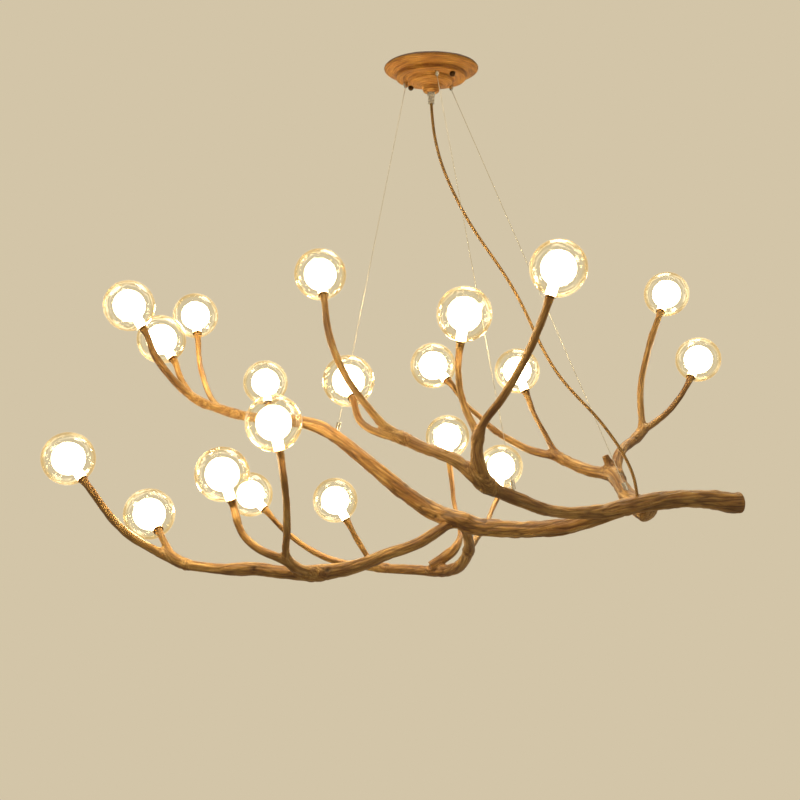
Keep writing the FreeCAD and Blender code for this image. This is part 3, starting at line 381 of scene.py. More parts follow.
# Natural nylon, moulded: milky and half clear, so light soaks through its wall.
nylon = new_material("moulded_clear_nylon")
place = add(nylon, "TexCoord", output="Object")
haze = add(nylon, "TexNoise", {"Vector": place, "Scale": 260.0, "Detail": 3.0})
shade = add(nylon, "ValToRGB", {"Fac": haze}, stops=((0.3, "#E2DCCB"), (0.7, "#F3EFE3")))
dull = add(nylon, "MapRange", {"Value": haze, "To Min": 0.2, "To Max": 0.34})
plastic = add(nylon, "BsdfPrincipled", {"Base Color": shade, "Roughness": dull, "IOR": 1.53,
                                        "Transmission Weight": 0.45})
add(nylon, "OutputMaterial", {"Surface": plastic})
dress(nylon, "cord_grip", "cord_grip_nut")

# Cores and leads
# The cord's three cores inside the canopy, and the bundle of leads inside the boughs:
# copper strands in extruded insulation, held by the block and the lamp holders.

# Extruded rubbery insulation: smooth, dull, streaked along its length.
insulation = new_material("extruded_core_insulation")
place = add(insulation, "TexCoord", output="Object")
streak = add(insulation, "TexNoise", {"Vector": place, "Scale": 120.0, "Detail": 3.0})
shade = add(insulation, "ValToRGB", {"Fac": streak}, stops=((0.3, "#4E4038"), (0.7, "#6A5A4E")))
dull = add(insulation, "MapRange", {"Value": streak, "To Min": 0.45, "To Max": 0.6})
plastic = add(insulation, "BsdfPrincipled", {"Base Color": shade, "Roughness": dull})
add(insulation, "OutputMaterial", {"Surface": plastic})
dress(insulation, "cord_cores", "lead_harness")

# Boughs
# Five boughs of peeled branch wood, bored for the leads and pinned together with steel
# dowels, then brushed so that the grain stands up, stained golden and oiled.

STATION_STEP = 0.002
ROD_STEPS = 36
JOINING_VOXEL = 0.0018
FOCAL_PIXELS = 1000
PICTURE_MIDDLE = 400
# girths in millimetres, of the front bough, and of a stem over its straight end
BOUGH_GIRTH = 42
STEM_FOOT_GIRTH = 15.0
STEM_TIP_GIRTH = 17.0
# lengths in metres: a stem's straight end, and where the wood is left smooth
STEM_END = 0.011
STEM_SMOOTH = 0.014
ROOT_SMOOTH = 0.016
# how fast one limb's grain gives way to another's, and how far a crotch is filled
GRAIN_BLEND = 0.003
CROTCH_SHARE = 1.1
CROTCH_LEAST = 0.006
CROTCH_MOST = 0.016
# the grain's turn about its limb in radians a metre, and the widths and lengths of its
# bends, flutes, strands, swellings and lumps
GRAIN_TWIST = 3.2
BEND_WIDTH = 0.03
BEND_LENGTH = 0.08
FLUTE_WIDTH = 0.0075
FLUTE_LENGTH = 0.05
STRAND_WIDTH = 0.0042
STRAND_LENGTH = 0.03
SWELL_WIDTH = 0.045
LUMP_WIDTH = 0.016
# the heights of the relief, and how it grows with the limb's radius
FLUTE_HEIGHT = 0.0009
CREASE_DEPTH = 0.0011
STRAND_HEIGHT = 0.0004
SWELL_HEIGHT = 0.0010
LUMP_HEIGHT = 0.0008
RELIEF_SINK = 0.0009
CREASE_SHARPNESS = 3.2
FULL_RELIEF_RADIUS = 0.016
LEAST_RELIEF = 0.45
MOST_RELIEF = 1.15
ROOT_CALM = 0.75
# a knot's hollow and the collar round it, as shares of its radius and depth, and how
# dark each is
HOLLOW_STEEPNESS = 1.25
COLLAR_PLACE = 1.25
COLLAR_WIDTH = 0.35
COLLAR_HEIGHT = 0.45
HOLLOW_STAIN = 0.8
COLLAR_STAIN = 0.25
# the lowest places are eased over this height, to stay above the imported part's lowest
LOWEST = cad_box[0][2]
SAG_EASE = 0.004

# Places on the branch are pixels of the photograph's frame of eight hundred, each with
# its distance from the viewer as a share of the canopy's

# Each globe: pixel and depth share of its centre, then of the stem's tip under it
GLOBE_SHARES = (
    (129, 305.3, 0.967, 143, 328, 0.967),
    (161, 338.5, 1.015, 173, 359, 1.007),
    (195.5, 314.9, 1.100, 197.5, 334, 1.086),
    (320, 273, 0.949, 323.5, 295.5, 0.935),
    (265.4, 382.4, 1.110, 268, 403, 1.099),
    (273.5, 422.4, 0.853, 279.3, 449.5, 0.863),
    (348.4, 380.6, 0.945, 353, 398, 0.926),
    (433, 365.5, 1.086, 447.5, 380.5, 1.074),
    (464.3, 314.5, 0.878, 460.7, 341, 0.888),
    (517.2, 371, 1.095, 525.5, 391.5, 1.087),
    (558.9, 267.1, 0.842, 549.8, 297, 0.842),
    (667, 292.6, 1.115, 660.5, 312, 1.103),
    (698.7, 358.4, 1.110, 690.5, 377.5, 1.099),
    (447.5, 437, 1.125, 449.3, 459.3, 1.122),
    (501, 467, 1.125, 499, 488, 1.116),
    (68, 458, 0.927, 83, 479.5, 0.920),
    (149.3, 514, 0.963, 158.5, 530.5, 0.946),
    (222.2, 474, 0.891, 231, 499.5, 0.899),
    (250.3, 494.2, 1.110, 265, 509.5, 1.100),
    (335.3, 500.5, 1.100, 346.5, 520, 1.094),
)

# Each limb: rows of pixel, depth share and girth as a share of BOUGH_GIRTH, then the
# globe that it ends under, or none. A bough's first limb starts at its root.
FRONT_SHARES = (
    (((742.5, 502.5, 0.941, 1.00), (733, 502.5, 0.940, 1.02), (719, 501, 0.938, 0.97),
      (700, 499, 0.936, 0.88), (680, 499, 0.933, 0.86), (660, 500.5, 0.931, 0.88),
      (640, 504, 0.928, 0.82), (620, 508, 0.925, 0.80), (600, 512, 0.921, 0.71),
      (580, 513, 0.913, 0.60), (560, 512, 0.905, 0.55), (540, 508, 0.891, 0.58),
      (520, 500.5, 0.884, 0.64), (500, 492, 0.876, 0.64), (480, 481, 0.871, 0.67),
      (460, 463.5, 0.876, 0.59), (440, 453.5, 0.884, 0.55), (420, 446, 0.894, 0.54),
      (400, 436.5, 0.901, 0.54), (388, 429, 0.903, 0.44), (376, 417, 0.904, 0.39),
      (360, 397, 0.904, 0.36), (347, 378, 0.905, 0.35), (335, 352, 0.911, 0.34),
      (327, 325, 0.923, 0.34)), 4),
    (((404, 439, 0.900, 0.44), (392, 437, 0.902, 0.40), (380, 433.5, 0.905, 0.37),
      (368, 428, 0.909, 0.36), (359, 419, 0.916, 0.35)), 7),
    (((489, 487, 0.872, 0.55), (483, 475, 0.868, 0.60), (477.5, 460, 0.867, 0.63),
      (477, 446, 0.868, 0.54), (478, 434, 0.868, 0.50)), 0),
    (((479, 438, 0.868, 0.40), (474, 426, 0.872, 0.36), (466, 410, 0.877, 0.34),
      (460, 390, 0.881, 0.32), (458.3, 366, 0.885, 0.31)), 9),
    (((477, 438, 0.868, 0.42), (484, 421, 0.864, 0.40), (496, 406, 0.860, 0.38),
      (513, 381, 0.854, 0.37), (529, 351, 0.849, 0.37), (541, 322, 0.845, 0.36)), 11),
)
MAIN_SHARES = (
    (((624, 510, 0.926, 0.58), (606, 515.5, 0.928, 0.62), (590, 520, 0.931, 0.70),
      (572, 525.5, 0.936, 0.78), (550, 528, 0.943, 0.82), (525, 529.5, 0.950, 0.82),
      (500, 528.5, 0.956, 0.83), (478, 526, 0.961, 0.88), (456, 519, 0.966, 0.84),
      (436, 512.5, 0.972, 0.90), (420, 503, 0.976, 0.84), (400, 489, 0.980, 0.80),
      (380, 472, 0.984, 0.77), (360, 456, 0.988, 0.72), (340, 440, 0.991, 0.66),
      (322, 428.5, 0.993, 0.71), (303, 422.5, 0.995, 0.60), (275, 419.5, 0.995, 0.52),
      (245, 416, 0.993, 0.48), (220, 409, 0.991, 0.46), (196, 399.5, 0.988, 0.43),
      (178, 385, 0.984, 0.40), (163, 367, 0.979, 0.37), (153, 351, 0.974, 0.35)), 1),
    (((205, 404, 0.990, 0.36), (193, 396, 0.992, 0.34), (184, 384, 0.997, 0.32),
      (178.5, 373, 1.001, 0.31)), 2),
    (((236, 414, 0.992, 0.36), (222, 409, 0.996, 0.33), (210.5, 396, 1.010, 0.31),
      (203.5, 379, 1.034, 0.30), (199.5, 359, 1.063, 0.29)), 3),
    (((296, 422, 0.995, 0.38), (286, 419, 1.010, 0.34), (278, 413.5, 1.045, 0.31),
      (272, 409, 1.078, 0.30)), 5),
)
LOWER_SHARES = (
    (((466, 520, 0.970, 0.40), (452, 523.5, 0.967, 0.44), (440, 530, 0.956, 0.52),
      (426, 538.5, 0.949, 0.55), (410, 546.5, 0.942, 0.55), (390, 553, 0.934, 0.57),
      (368, 562, 0.923, 0.62), (348, 568.5, 0.915, 0.70), (328, 571.5, 0.911, 0.74),
      (306, 574, 0.908, 0.66), (280, 572, 0.907, 0.61), (262, 570, 0.910, 0.61),
      (245, 569, 0.914, 0.65), (222, 569, 0.920, 0.52), (200, 567, 0.926, 0.49),
      (180, 562.5, 0.931, 0.47), (160, 553.5, 0.933, 0.44), (142, 543.5, 0.932, 0.42),
      (122, 529, 0.929, 0.40), (106, 511, 0.926, 0.38), (94, 494, 0.923, 0.36)), 16),
    (((186, 564, 0.930, 0.40), (174, 556.5, 0.931, 0.37), (166.5, 547, 0.936, 0.35)), 17),
    (((320, 573, 0.909, 0.50), (305, 571, 0.901, 0.48), (291, 565, 0.892, 0.44),
      (281, 559, 0.888, 0.40), (266, 553, 0.887, 0.38), (252, 544, 0.889, 0.37),
      (241, 530, 0.893, 0.36), (236, 516, 0.896, 0.35)), 18),
    (((294, 567, 0.894, 0.38), (287, 556, 0.888, 0.36), (286.5, 540, 0.879, 0.36),
      (287, 518, 0.871, 0.35), (285.5, 494, 0.866, 0.34), (283, 472, 0.863, 0.33)), 6),
)
HOOKED_SHARES = (
    (((465, 519, 0.960, 0.46), (467, 533, 0.969, 0.50), (469, 546, 0.987, 0.56),
      (466, 557, 1.005, 0.58), (458, 566.5, 1.025, 0.62), (443, 571, 1.045, 0.62),
      (422, 570.5, 1.062, 0.56), (402, 569, 1.074, 0.55), (382, 568, 1.083, 0.51),
      (362, 566, 1.091, 0.44), (340, 562.5, 1.097, 0.40), (322, 556, 1.101, 0.37),
      (306, 547, 1.103, 0.34), (291, 536, 1.103, 0.32), (278, 524, 1.102, 0.31)), 19),
    (((386, 568.5, 1.082, 0.40), (374, 564, 1.086, 0.37), (364, 551, 1.091, 0.34),
      (355.5, 537, 1.093, 0.33)), 20),
    (((430, 566, 1.050, 0.45), (439, 561, 1.050, 0.52), (448, 555, 1.052, 0.58),
      (455, 548, 1.058, 0.50), (459.5, 540, 1.068, 0.36), (460, 531, 1.085, 0.30),
      (458.5, 520, 1.100, 0.28), (454.5, 506, 1.113, 0.28), (452, 486, 1.119, 0.27)), 14),
    (((468, 551, 0.992, 0.40), (473, 543, 1.008, 0.36), (480, 534, 1.035, 0.31),
      (487, 523, 1.068, 0.28), (493, 508, 1.097, 0.27)), 15),
)
REAR_SHARES = (
    (((652, 516, 0.940, 1.06), (647, 511, 0.945, 1.12), (636.5, 504, 0.961, 0.98),
      (627, 496, 0.977, 0.84), (621, 486, 0.990, 0.76), (616, 477, 1.004, 0.74),
      (606, 473.5, 1.018, 0.68), (592, 471, 1.031, 0.64), (572, 464, 1.048, 0.60),
      (556, 456.5, 1.058, 0.50), (534, 451.5, 1.068, 0.42), (514, 442.5, 1.075, 0.38),
      (496, 431, 1.080, 0.35), (480, 417.5, 1.083, 0.31), (465, 403, 1.081, 0.28)), 8),
    (((618, 480, 1.002, 0.60), (616.5, 466, 1.018, 0.60), (619, 454, 1.032, 0.56),
      (628, 444, 1.052, 0.54), (641, 431, 1.072, 0.50), (641.5, 416, 1.082, 0.38),
      (640.5, 396, 1.089, 0.36), (643, 373, 1.095, 0.36), (648, 350, 1.099, 0.36),
      (653.5, 331, 1.101, 0.37)), 12),
    (((636, 437, 1.064, 0.42), (650, 426, 1.078, 0.38), (666, 413.5, 1.087, 0.35),
      (679, 398, 1.093, 0.34)), 13),
    (((564, 460, 1.053, 0.38), (554, 450, 1.060, 0.35), (545, 434.5, 1.067, 0.31),
      (536, 417.5, 1.075, 0.29)), 10),
    (((613, 474, 1.012, 0.46), (608.5, 463, 1.016, 0.44), (605, 455, 1.017, 0.36)), 0),
)

# Knots: place in millimetres, radius and depth of the hollow, or less than 0 for a bump
FRONT_KNOTS = ((94, -262, -843, 8, 1.2), (19, -245, -764, 6, -1.6))
MAIN_KNOTS = ((6, -75, -903, 5, 1.3), (-300, -22, -716, 5, 0.9))
LOWER_KNOTS = ((-195, -195, -985, 6, 1.2), (-330, -190, -985, 5, 1.0))
HOOKED_KNOTS = ((60, 20, -992, 6, 1.6), (48, 44, -1004, 5, 1.6), (38, 62, -1014, 5, 1.4))
REAR_KNOTS = ((384, -6, -824, 7, 1.1), (398, -8, -812, 5, 0.9), (440, 112, -757, 5, 1.1))


def lifted(rows):
    """Places in millimetres of rows of pixels and depth shares. Side and height are the
    pixel's offsets from the picture's middle, times its depth over the focal length,
    all from the viewer's eye."""
    view = np.array(EYE) * 1000
    depth = rows[:, 2] * -view[1]
    side = (rows[:, 0] - PICTURE_MIDDLE) * depth / FOCAL_PIXELS
    height = (PICTURE_MIDDLE - rows[:, 1]) * depth / FOCAL_PIXELS
    return np.stack([side, depth, height], axis=1) + view


# Each stem's tip to a tenth of a millimetre, with the direction of its globe
globe_rows = np.array(GLOBE_SHARES)
tip_places = lifted(globe_rows[:, 3:])
globe_sides = lifted(globe_rows[:, :3]) - tip_places
globe_sides /= np.linalg.norm(globe_sides, axis=1)[:, None]
stem_tips = np.hstack([np.round(tip_places, 1), np.round(globe_sides, 4)])


def spline(knots, steps):
    """A natural cubic spline through the knots, its parameter the chord's length,
    read every step millimetres: values and slopes."""
    chord = np.linalg.norm(np.diff(knots[:, :3], axis=0), axis=1)
    start = np.r_[0, np.cumsum(chord)]
    count = len(knots)
    system = np.eye(count)
    right = np.zeros(knots.shape)
    inner = np.arange(1, count - 1)
    system[inner, inner - 1] = chord[:-1]
    system[inner, inner] = 2 * (chord[:-1] + chord[1:])
    system[inner, inner + 1] = chord[1:]
    rise = np.diff(knots, axis=0) / chord[:, None]
    right[1:-1] = 6 * np.diff(rise, axis=0)
    bend = np.linalg.solve(system, right)
    reading = np.linspace(0, start[-1], max(int(start[-1] / steps), 4) + 1)
    span = np.clip(np.searchsorted(start, reading, side="right") - 1, 0, count - 2)
    width = chord[span][:, None]
    after = (reading - start[span])[:, None]
    before = width - after
    value = (bend[span] * before ** 3 + bend[span + 1] * after ** 3) / (6 * width)
    value += (knots[span] / width - bend[span] * width / 6) * before
    value += (knots[span + 1] / width - bend[span + 1] * width / 6) * after
    slope = (bend[span + 1] * after ** 2 - bend[span] * before ** 2) / (2 * width)
    slope += rise[span] - width / 6 * (bend[span + 1] - bend[span])
    return value, slope, reading


def limb(rows, globe):
    """A limb's line: at each station its place, heading, two side directions that
    don't twist, radius and distance from the root. All in metres, from knots to the
    whole millimetre and girths to a tenth."""
    rows = np.array(rows)
    knots = np.hstack([np.round(lifted(rows)), np.round(rows[:, 3:] * BOUGH_GIRTH, 1)])
    if globe:
        tip = stem_tips[globe - 1]
        foot = np.r_[tip[:3] - tip[3:] * STEM_END * 1000, STEM_FOOT_GIRTH]
        knots = np.vstack([knots, foot, np.r_[tip[:3], STEM_TIP_GIRTH]])
    value, slope, reading = spline(knots / 1000, STATION_STEP)
    heading = slope[:, :3] / np.linalg.norm(slope[:, :3], axis=1)[:, None]
    side = np.cross(heading[0], (0.0, 0.3, 1.0))
    sides = []
    for direction in heading:
        side = side - direction * side.dot(direction)
        side = side / np.linalg.norm(side)
        sides.append(side)
    sides = np.array(sides)
    return {"place": value[:, :3], "heading": heading, "side": sides,
            "up": np.cross(heading, sides), "radius": value[:, 3] / 2,
            "along": reading, "stem": bool(globe)}


def rods(name, limbs):
    """The limbs as round rods, one closed surface each, in one mesh."""
    turn = np.arange(ROD_STEPS) * (2 * math.pi / ROD_STEPS)
    points = []
    faces = []
    for line in limbs:
        spoke = (line["side"][:, None] * np.cos(turn)[None, :, None]
                 + line["up"][:, None] * np.sin(turn)[None, :, None])
        rings = line["place"][:, None] + spoke * line["radius"][:, None, None]
        places, sides = surface(rings, poles=(True, True))
        faces += [[corner + len(points) for corner in side] for side in sides]
        points += places.tolist()
    mesh = bpy.data.meshes.new(name)
    mesh.from_pydata(points, [], faces)
    return mesh


def smooth_step(share):
    """Zero to one with level ends, by the curve 3t^2 - 2t^3."""
    return share * share * (3 - 2 * share)


def nearest(points, line):
    """For each point, its place in a limb's own frame: across, up, along from the
    root, its distance from the limb's surface and the limb's radius there."""
    found = np.concatenate([
        ((part[:, None] - line["place"][None]) ** 2).sum(axis=-1).argmin(axis=1)
        for part in np.array_split(points, max(len(points) // 4000, 1))])
    offset = points - line["place"][found]
    across = (offset * line["side"][found]).sum(axis=1)
    over = (offset * line["up"][found]).sum(axis=1)
    ahead = (offset * line["heading"][found]).sum(axis=1)
    radius = line["radius"][found]
    distance = np.sqrt(across ** 2 + over ** 2 + ahead ** 2) - radius
    return np.stack([across, over, line["along"][found] + ahead], axis=1), distance, radius


def branch(name, node, limb_rows, neighbour_rows, dents, seed, dome):
    """A bough: round rods joined by a voxel remesh, with the crotches filled by a
    smooth minimum of the limbs' distances, then worked by noise along each limb's own
    grain, and hollowed at its knots. Its root is domed over the length given and stays
    smooth, and its lowest 4 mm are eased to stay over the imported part's lowest place."""
    limbs = [limb(rows, globe) for rows, globe in limb_rows]
    limbs[0]["radius"] *= np.sqrt(1 - np.clip(1 - limbs[0]["along"] / dome, 0, 1) ** 2)
    neighbours = [limb(rows, globe) for rows, globe in neighbour_rows]
    joined = bpy.data.objects.new(name + "_rods", rods(name + "_rods", limbs))
    bpy.context.scene.collection.objects.link(joined)
    remesh = joined.modifiers.new("joined", "REMESH")
    remesh.mode = "VOXEL"
    remesh.voxel_size = JOINING_VOXEL
    smooth = joined.modifiers.new("eased", "SMOOTH")
    smooth.factor = 0.5
    smooth.iterations = 6
    worked = bpy.data.meshes.new_from_object(
        joined.evaluated_get(bpy.context.evaluated_depsgraph_get()))
    bpy.data.objects.remove(joined)
    points = np.empty(len(worked.vertices) * 3)
    worked.vertices.foreach_get("co", points)
    points = points.reshape(-1, 3)
    outward = np.empty(len(worked.vertices) * 3)
    worked.vertex_normals.foreach_get("vector", outward)
    outward = outward.reshape(-1, 3)

    found = [nearest(points, line) for line in limbs]
    distances = np.stack([distance for _, distance, _ in found])
    pull = np.exp(-(distances - distances.min(axis=0)) / GRAIN_BLEND)
    pull /= pull.sum(axis=0)
    grain = sum(share[:, None] * place for share, (place, _, _) in zip(pull, found))
    girth = sum(share * radius for share, (_, _, radius) in zip(pull, found))
    end = np.ones(len(points))
    for share, line, (place, _, _) in zip(pull, limbs, found):
        if line["stem"]:
            left = np.clip((line["along"][-1] - place[:, 2]) / STEM_SMOOTH, 0, 1)
            end -= share * (1 - smooth_step(left))
    root = np.clip(found[0][0][:, 2] / ROOT_SMOOTH, 0, 1)
    end *= 1 - pull[0] * ROOT_CALM * (1 - smooth_step(root))

    beside = [nearest(points, line)[1] for line in neighbours]
    ordered = np.sort(np.vstack([distances] + [row[None] for row in beside]), axis=0)
    reach = np.clip(girth * CROTCH_SHARE, CROTCH_LEAST, CROTCH_MOST)
    if len(ordered) > 1:
        share = np.clip(1 - (ordered[1] - ordered[0].clip(-0.002)) / reach, 0, 1)
        crotch = share ** 2 * reach / 4
    else:
        crotch = np.zeros(len(points))

    twist = grain[:, 2] * GRAIN_TWIST + seed
    across = grain[:, 0] * np.cos(twist) - grain[:, 1] * np.sin(twist)
    over = grain[:, 0] * np.sin(twist) + grain[:, 1] * np.cos(twist)

    def along_grain(width, length, drift, key):
        """Noise drawn out along the grain, so many metres wide and long."""
        return scatter(np.stack([across / width + drift, over / width, grain[:, 2] / length],
                                axis=1), key)

    sinuous = along_grain(BEND_WIDTH, BEND_LENGTH, 0, seed)
    fluted = along_grain(FLUTE_WIDTH, FLUTE_LENGTH, sinuous, seed + 1)
    strands = along_grain(STRAND_WIDTH, STRAND_LENGTH, sinuous, seed + 2)
    swell = scatter(points / SWELL_WIDTH, seed + 3)
    lumps = scatter(points / LUMP_WIDTH, seed + 4)
    creases = -np.clip(1 - np.abs(fluted) * CREASE_SHARPNESS, 0, 1)
    strength = np.clip(girth / FULL_RELIEF_RADIUS, LEAST_RELIEF, MOST_RELIEF)
    relief = FLUTE_HEIGHT * fluted + CREASE_DEPTH * creases + STRAND_HEIGHT * strands
    relief += SWELL_HEIGHT * swell + LUMP_HEIGHT * lumps - RELIEF_SINK
    relief *= strength * end
    dark = np.zeros(len(points))
    for x, y, z, radius, depth in dents:
        away = np.linalg.norm(points - np.array([x, y, z]) / 1000, axis=1) / (radius / 1000)
        hollow = np.exp(-(away * HOLLOW_STEEPNESS) ** 4)
        collar = np.exp(-((away - COLLAR_PLACE) / COLLAR_WIDTH) ** 2)
        relief += (collar * COLLAR_HEIGHT - hollow) * depth / 1000
        dark = np.maximum(dark, (hollow * HOLLOW_STAIN + collar * COLLAR_STAIN) * (depth > 0))
    points = points + outward * (relief + crotch * end)[:, None]
    sag = np.clip((LOWEST + SAG_EASE - points[:, 2]) / SAG_EASE, 0, None)
    points[:, 2] += SAG_EASE * (sag - np.tanh(sag))
    worked.vertices.foreach_set("co", points.ravel())
    worked.update()
    worked.shade_smooth()
    low = creases * strength * end
    for title, kind, values in (
            ("grain", "FLOAT_VECTOR", np.stack([across, over, grain[:, 2]], axis=1) + seed),
            ("hollow", "FLOAT", np.clip(-low, 0, 1)), ("knot", "FLOAT", np.clip(dark, 0, 1))):
        layer = worked.attributes.new(title, kind, "POINT")
        key = "vector" if kind == "FLOAT_VECTOR" else "value"
        layer.data.foreach_set(key, values.astype(np.float32).ravel())
    return piece(name, worked, branch_wood, "lamp", "branch_wood", node)


# Peeled branch, brushed, stained and oiled: golden crests, brown lines in the grain's
# hollows and dark knots. Streaks are about 6 mm across and 90 mm long, fibres 1.5 mm
# across, drawn coarser than real ones so that they show.
branch_wood = new_material("peeled_oiled_branch")
grain = add(branch_wood, "Attribute", output="Vector", attribute_name="grain")
hollow = add(branch_wood, "Attribute", output="Fac", attribute_name="hollow")
knot = add(branch_wood, "Attribute", output="Fac", attribute_name="knot")
place = add(branch_wood, "TexCoord", output="Object")
long_grain = add(branch_wood, "Mapping", {"Vector": grain, "Scale": (1.0, 1.0, 0.06)})
streaks = add(branch_wood, "TexNoise", {"Vector": long_grain, "Scale": 170.0, "Detail": 3.0,
                                        "Roughness": 0.55, "Distortion": 0.4})
fibres = add(branch_wood, "TexNoise", {"Vector": long_grain, "Scale": 700.0, "Detail": 3.0,
                                       "Roughness": 0.6})
patches = add(branch_wood, "TexNoise", {"Vector": place, "Scale": 14.0, "Detail": 3.0})
ground = add(branch_wood, "ValToRGB", {"Fac": streaks},
             stops=((0.28, "#865C22"), (0.74, "#ECC67E"), (0.44, "#B58743"), (0.58, "#D2A558")))
lines = add(branch_wood, "ValToRGB", {"Fac": fibres}, stops=((0.34, "#A67E48"), (0.58, "#FFFFFF")))
ground = add(branch_wood, "MixRGB", {"Fac": 0.5, "Color1": ground, "Color2": lines},
             blend_type="MULTIPLY")
weather = add(branch_wood, "ValToRGB", {"Fac": patches}, stops=((0.36, "#AC8E5E"), (0.60, "#FFFFFF")))
ground = add(branch_wood, "MixRGB", {"Fac": 0.6, "Color1": ground, "Color2": weather},
             blend_type="MULTIPLY")
sunk = add(branch_wood, "MapRange", {"Value": hollow, "From Min": 0.15, "From Max": 1.0,
                                     "To Min": 0.0, "To Max": 0.7})
ground = add(branch_wood, "MixRGB", {"Fac": sunk, "Color1": ground, "Color2": linear("#553610")})
ground = add(branch_wood, "MixRGB", {"Fac": knot, "Color1": ground, "Color2": linear("#38230D")})
gloss = add(branch_wood, "MapRange", {"Value": fibres, "To Min": 0.42, "To Max": 0.62})
height = add(branch_wood, "MixRGB", {"Fac": 0.45, "Color1": streaks, "Color2": fibres})
brushed = add(branch_wood, "Bump", {"Height": height, "Strength": 0.5, "Distance": 0.0009})
wood = add(branch_wood, "BsdfPrincipled", {"Base Color": ground, "Roughness": gloss,
                                           "IOR": 1.5, "Normal": brushed})
add(branch_wood, "OutputMaterial", {"Surface": wood})

ROOT_DOME = 0.004
REAR_ROOT_DOME = 0.009

branch("front_bough_wood", "front_bough", FRONT_SHARES, (), FRONT_KNOTS, 11, ROOT_DOME)
branch("main_bough_wood", "main_bough", MAIN_SHARES, (LOWER_SHARES[0], HOOKED_SHARES[0]),
       MAIN_KNOTS, 23, ROOT_DOME)
branch("lower_bough_wood", "lower_bough", LOWER_SHARES, (MAIN_SHARES[0],), LOWER_KNOTS, 37,
       ROOT_DOME)
branch("hooked_bough_wood", "hooked_bough", HOOKED_SHARES, (MAIN_SHARES[0],), HOOKED_KNOTS,
       41, ROOT_DOME)
branch("rear_bough_wood", "rear_bough", REAR_SHARES, (), REAR_KNOTS, 59, REAR_ROOT_DOME)

# Suspension wires
# Three taut strands of bright steel wire, clamped in the anchors on the boughs and held
# by the grippers' plungers.

WIRE_DIAMETER = 0.0012
# millimetres: the grippers' circle, a wire's end in its plunger, an anchor's barrel
GRIPPER_RADIUS = 55
WIRE_TOP = -36.2
ANCHOR_LENGTH = 16
WIRE_SHARES = {
    # the gripper's direction in degrees, then pixel and depth share of the anchor's foot
    "left": (160, (337.5, 430, 0.992)),
    "front": (280, (513.5, 489.5, 0.8815)),
    "right": (40, (626.5, 490.3, 0.9735)),
}

# Bright drawn steel strand: grey with light glints from its twisted wires.
strand = new_material("bright_steel_strand")
place = add(strand, "TexCoord", output="Object")
lay = add(strand, "TexWave", {"Vector": place, "Scale": 420.0}, wave_type="BANDS",
          bands_direction="DIAGONAL")
shade = add(strand, "ValToRGB", {"Fac": lay}, stops=((0.2, "#B3A88F"), (0.8, "#EEE6D2")))
dull = add(strand, "MapRange", {"Value": lay, "To Min": 0.22, "To Max": 0.4})
twisted = add(strand, "Bump", {"Height": lay, "Strength": 0.3, "Distance": 0.0002})
metal = add(strand, "BsdfPrincipled", {"Base Color": shade, "Metallic": 1.0,
                                       "Roughness": dull, "Normal": twisted})
add(strand, "OutputMaterial", {"Surface": metal})


def route(name, points):
    """An open NURBS spline of order 3 with the points as its control points."""
    line = bpy.data.curves.new(name, "CURVE")
    line.dimensions = "3D"
    course = line.splines.new("NURBS")
    course.points.add(len(points) - 1)
    for control, point in zip(course.points, points):
        control.co = (*point, 1)
    course.order_u = 3
    course.use_endpoint_u = True
    line.resolution_u = 16
    return line


for side, (direction, anchor) in WIRE_SHARES.items():
    angle = math.radians(direction)
    grip = np.array([math.cos(angle) * GRIPPER_RADIUS, math.sin(angle) * GRIPPER_RADIUS, WIRE_TOP])
    barrel_foot = lifted(np.array([anchor]))[0]
    rise = (grip - barrel_foot) / np.linalg.norm(grip - barrel_foot)
    top = tuple(np.round(grip / 1000, 4).tolist())
    foot = tuple(np.round((barrel_foot + rise * ANCHOR_LENGTH) / 1000, 4).tolist())
    middle = tuple((Vector(top) + Vector(foot)) / 2)
    line = route(side + "_wire_strand", (top, middle, foot))
    line.bevel_depth = WIRE_DIAMETER / 2
    line.bevel_resolution = 4
    line.use_fill_caps = True
    wire = piece(side + "_wire_strand", line, strand, "lamp", "steel_wire", side + "_wire")

# Power cord
# A round three-core cord in a brown braided sleeve. It leaves the grip, hangs in a long
# S beside the wires and runs into the top of the front bough.

CORD_DIAMETER = 0.006
CORD_ROUTE = (
    # metres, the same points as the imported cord's
    (0, 0, -0.073), (0.002, -0.001, -0.108), (0.008, -0.003, -0.152), (0.021, -0.007, -0.203),
    (0.043, -0.014, -0.257), (0.071, -0.020, -0.313), (0.100, -0.028, -0.360),
    (0.131, -0.037, -0.406), (0.159, -0.047, -0.452), (0.181, -0.058, -0.497),
    (0.199, -0.069, -0.541), (0.219, -0.082, -0.587), (0.246, -0.094, -0.633),
    (0.277, -0.106, -0.670), (0.308, -0.117, -0.703), (0.334, -0.126, -0.738),
    (0.356, -0.134, -0.772), (0.372, -0.140, -0.806), (0.380, -0.144, -0.836),
    (0.383, -0.146, -0.868),
)
BRAID_STEP = 0.001
BRAID_STEPS = 32
BRAID_STRANDS = 8
BRAID_PITCH = 0.011
BRAID_DEPTH = 0.00022
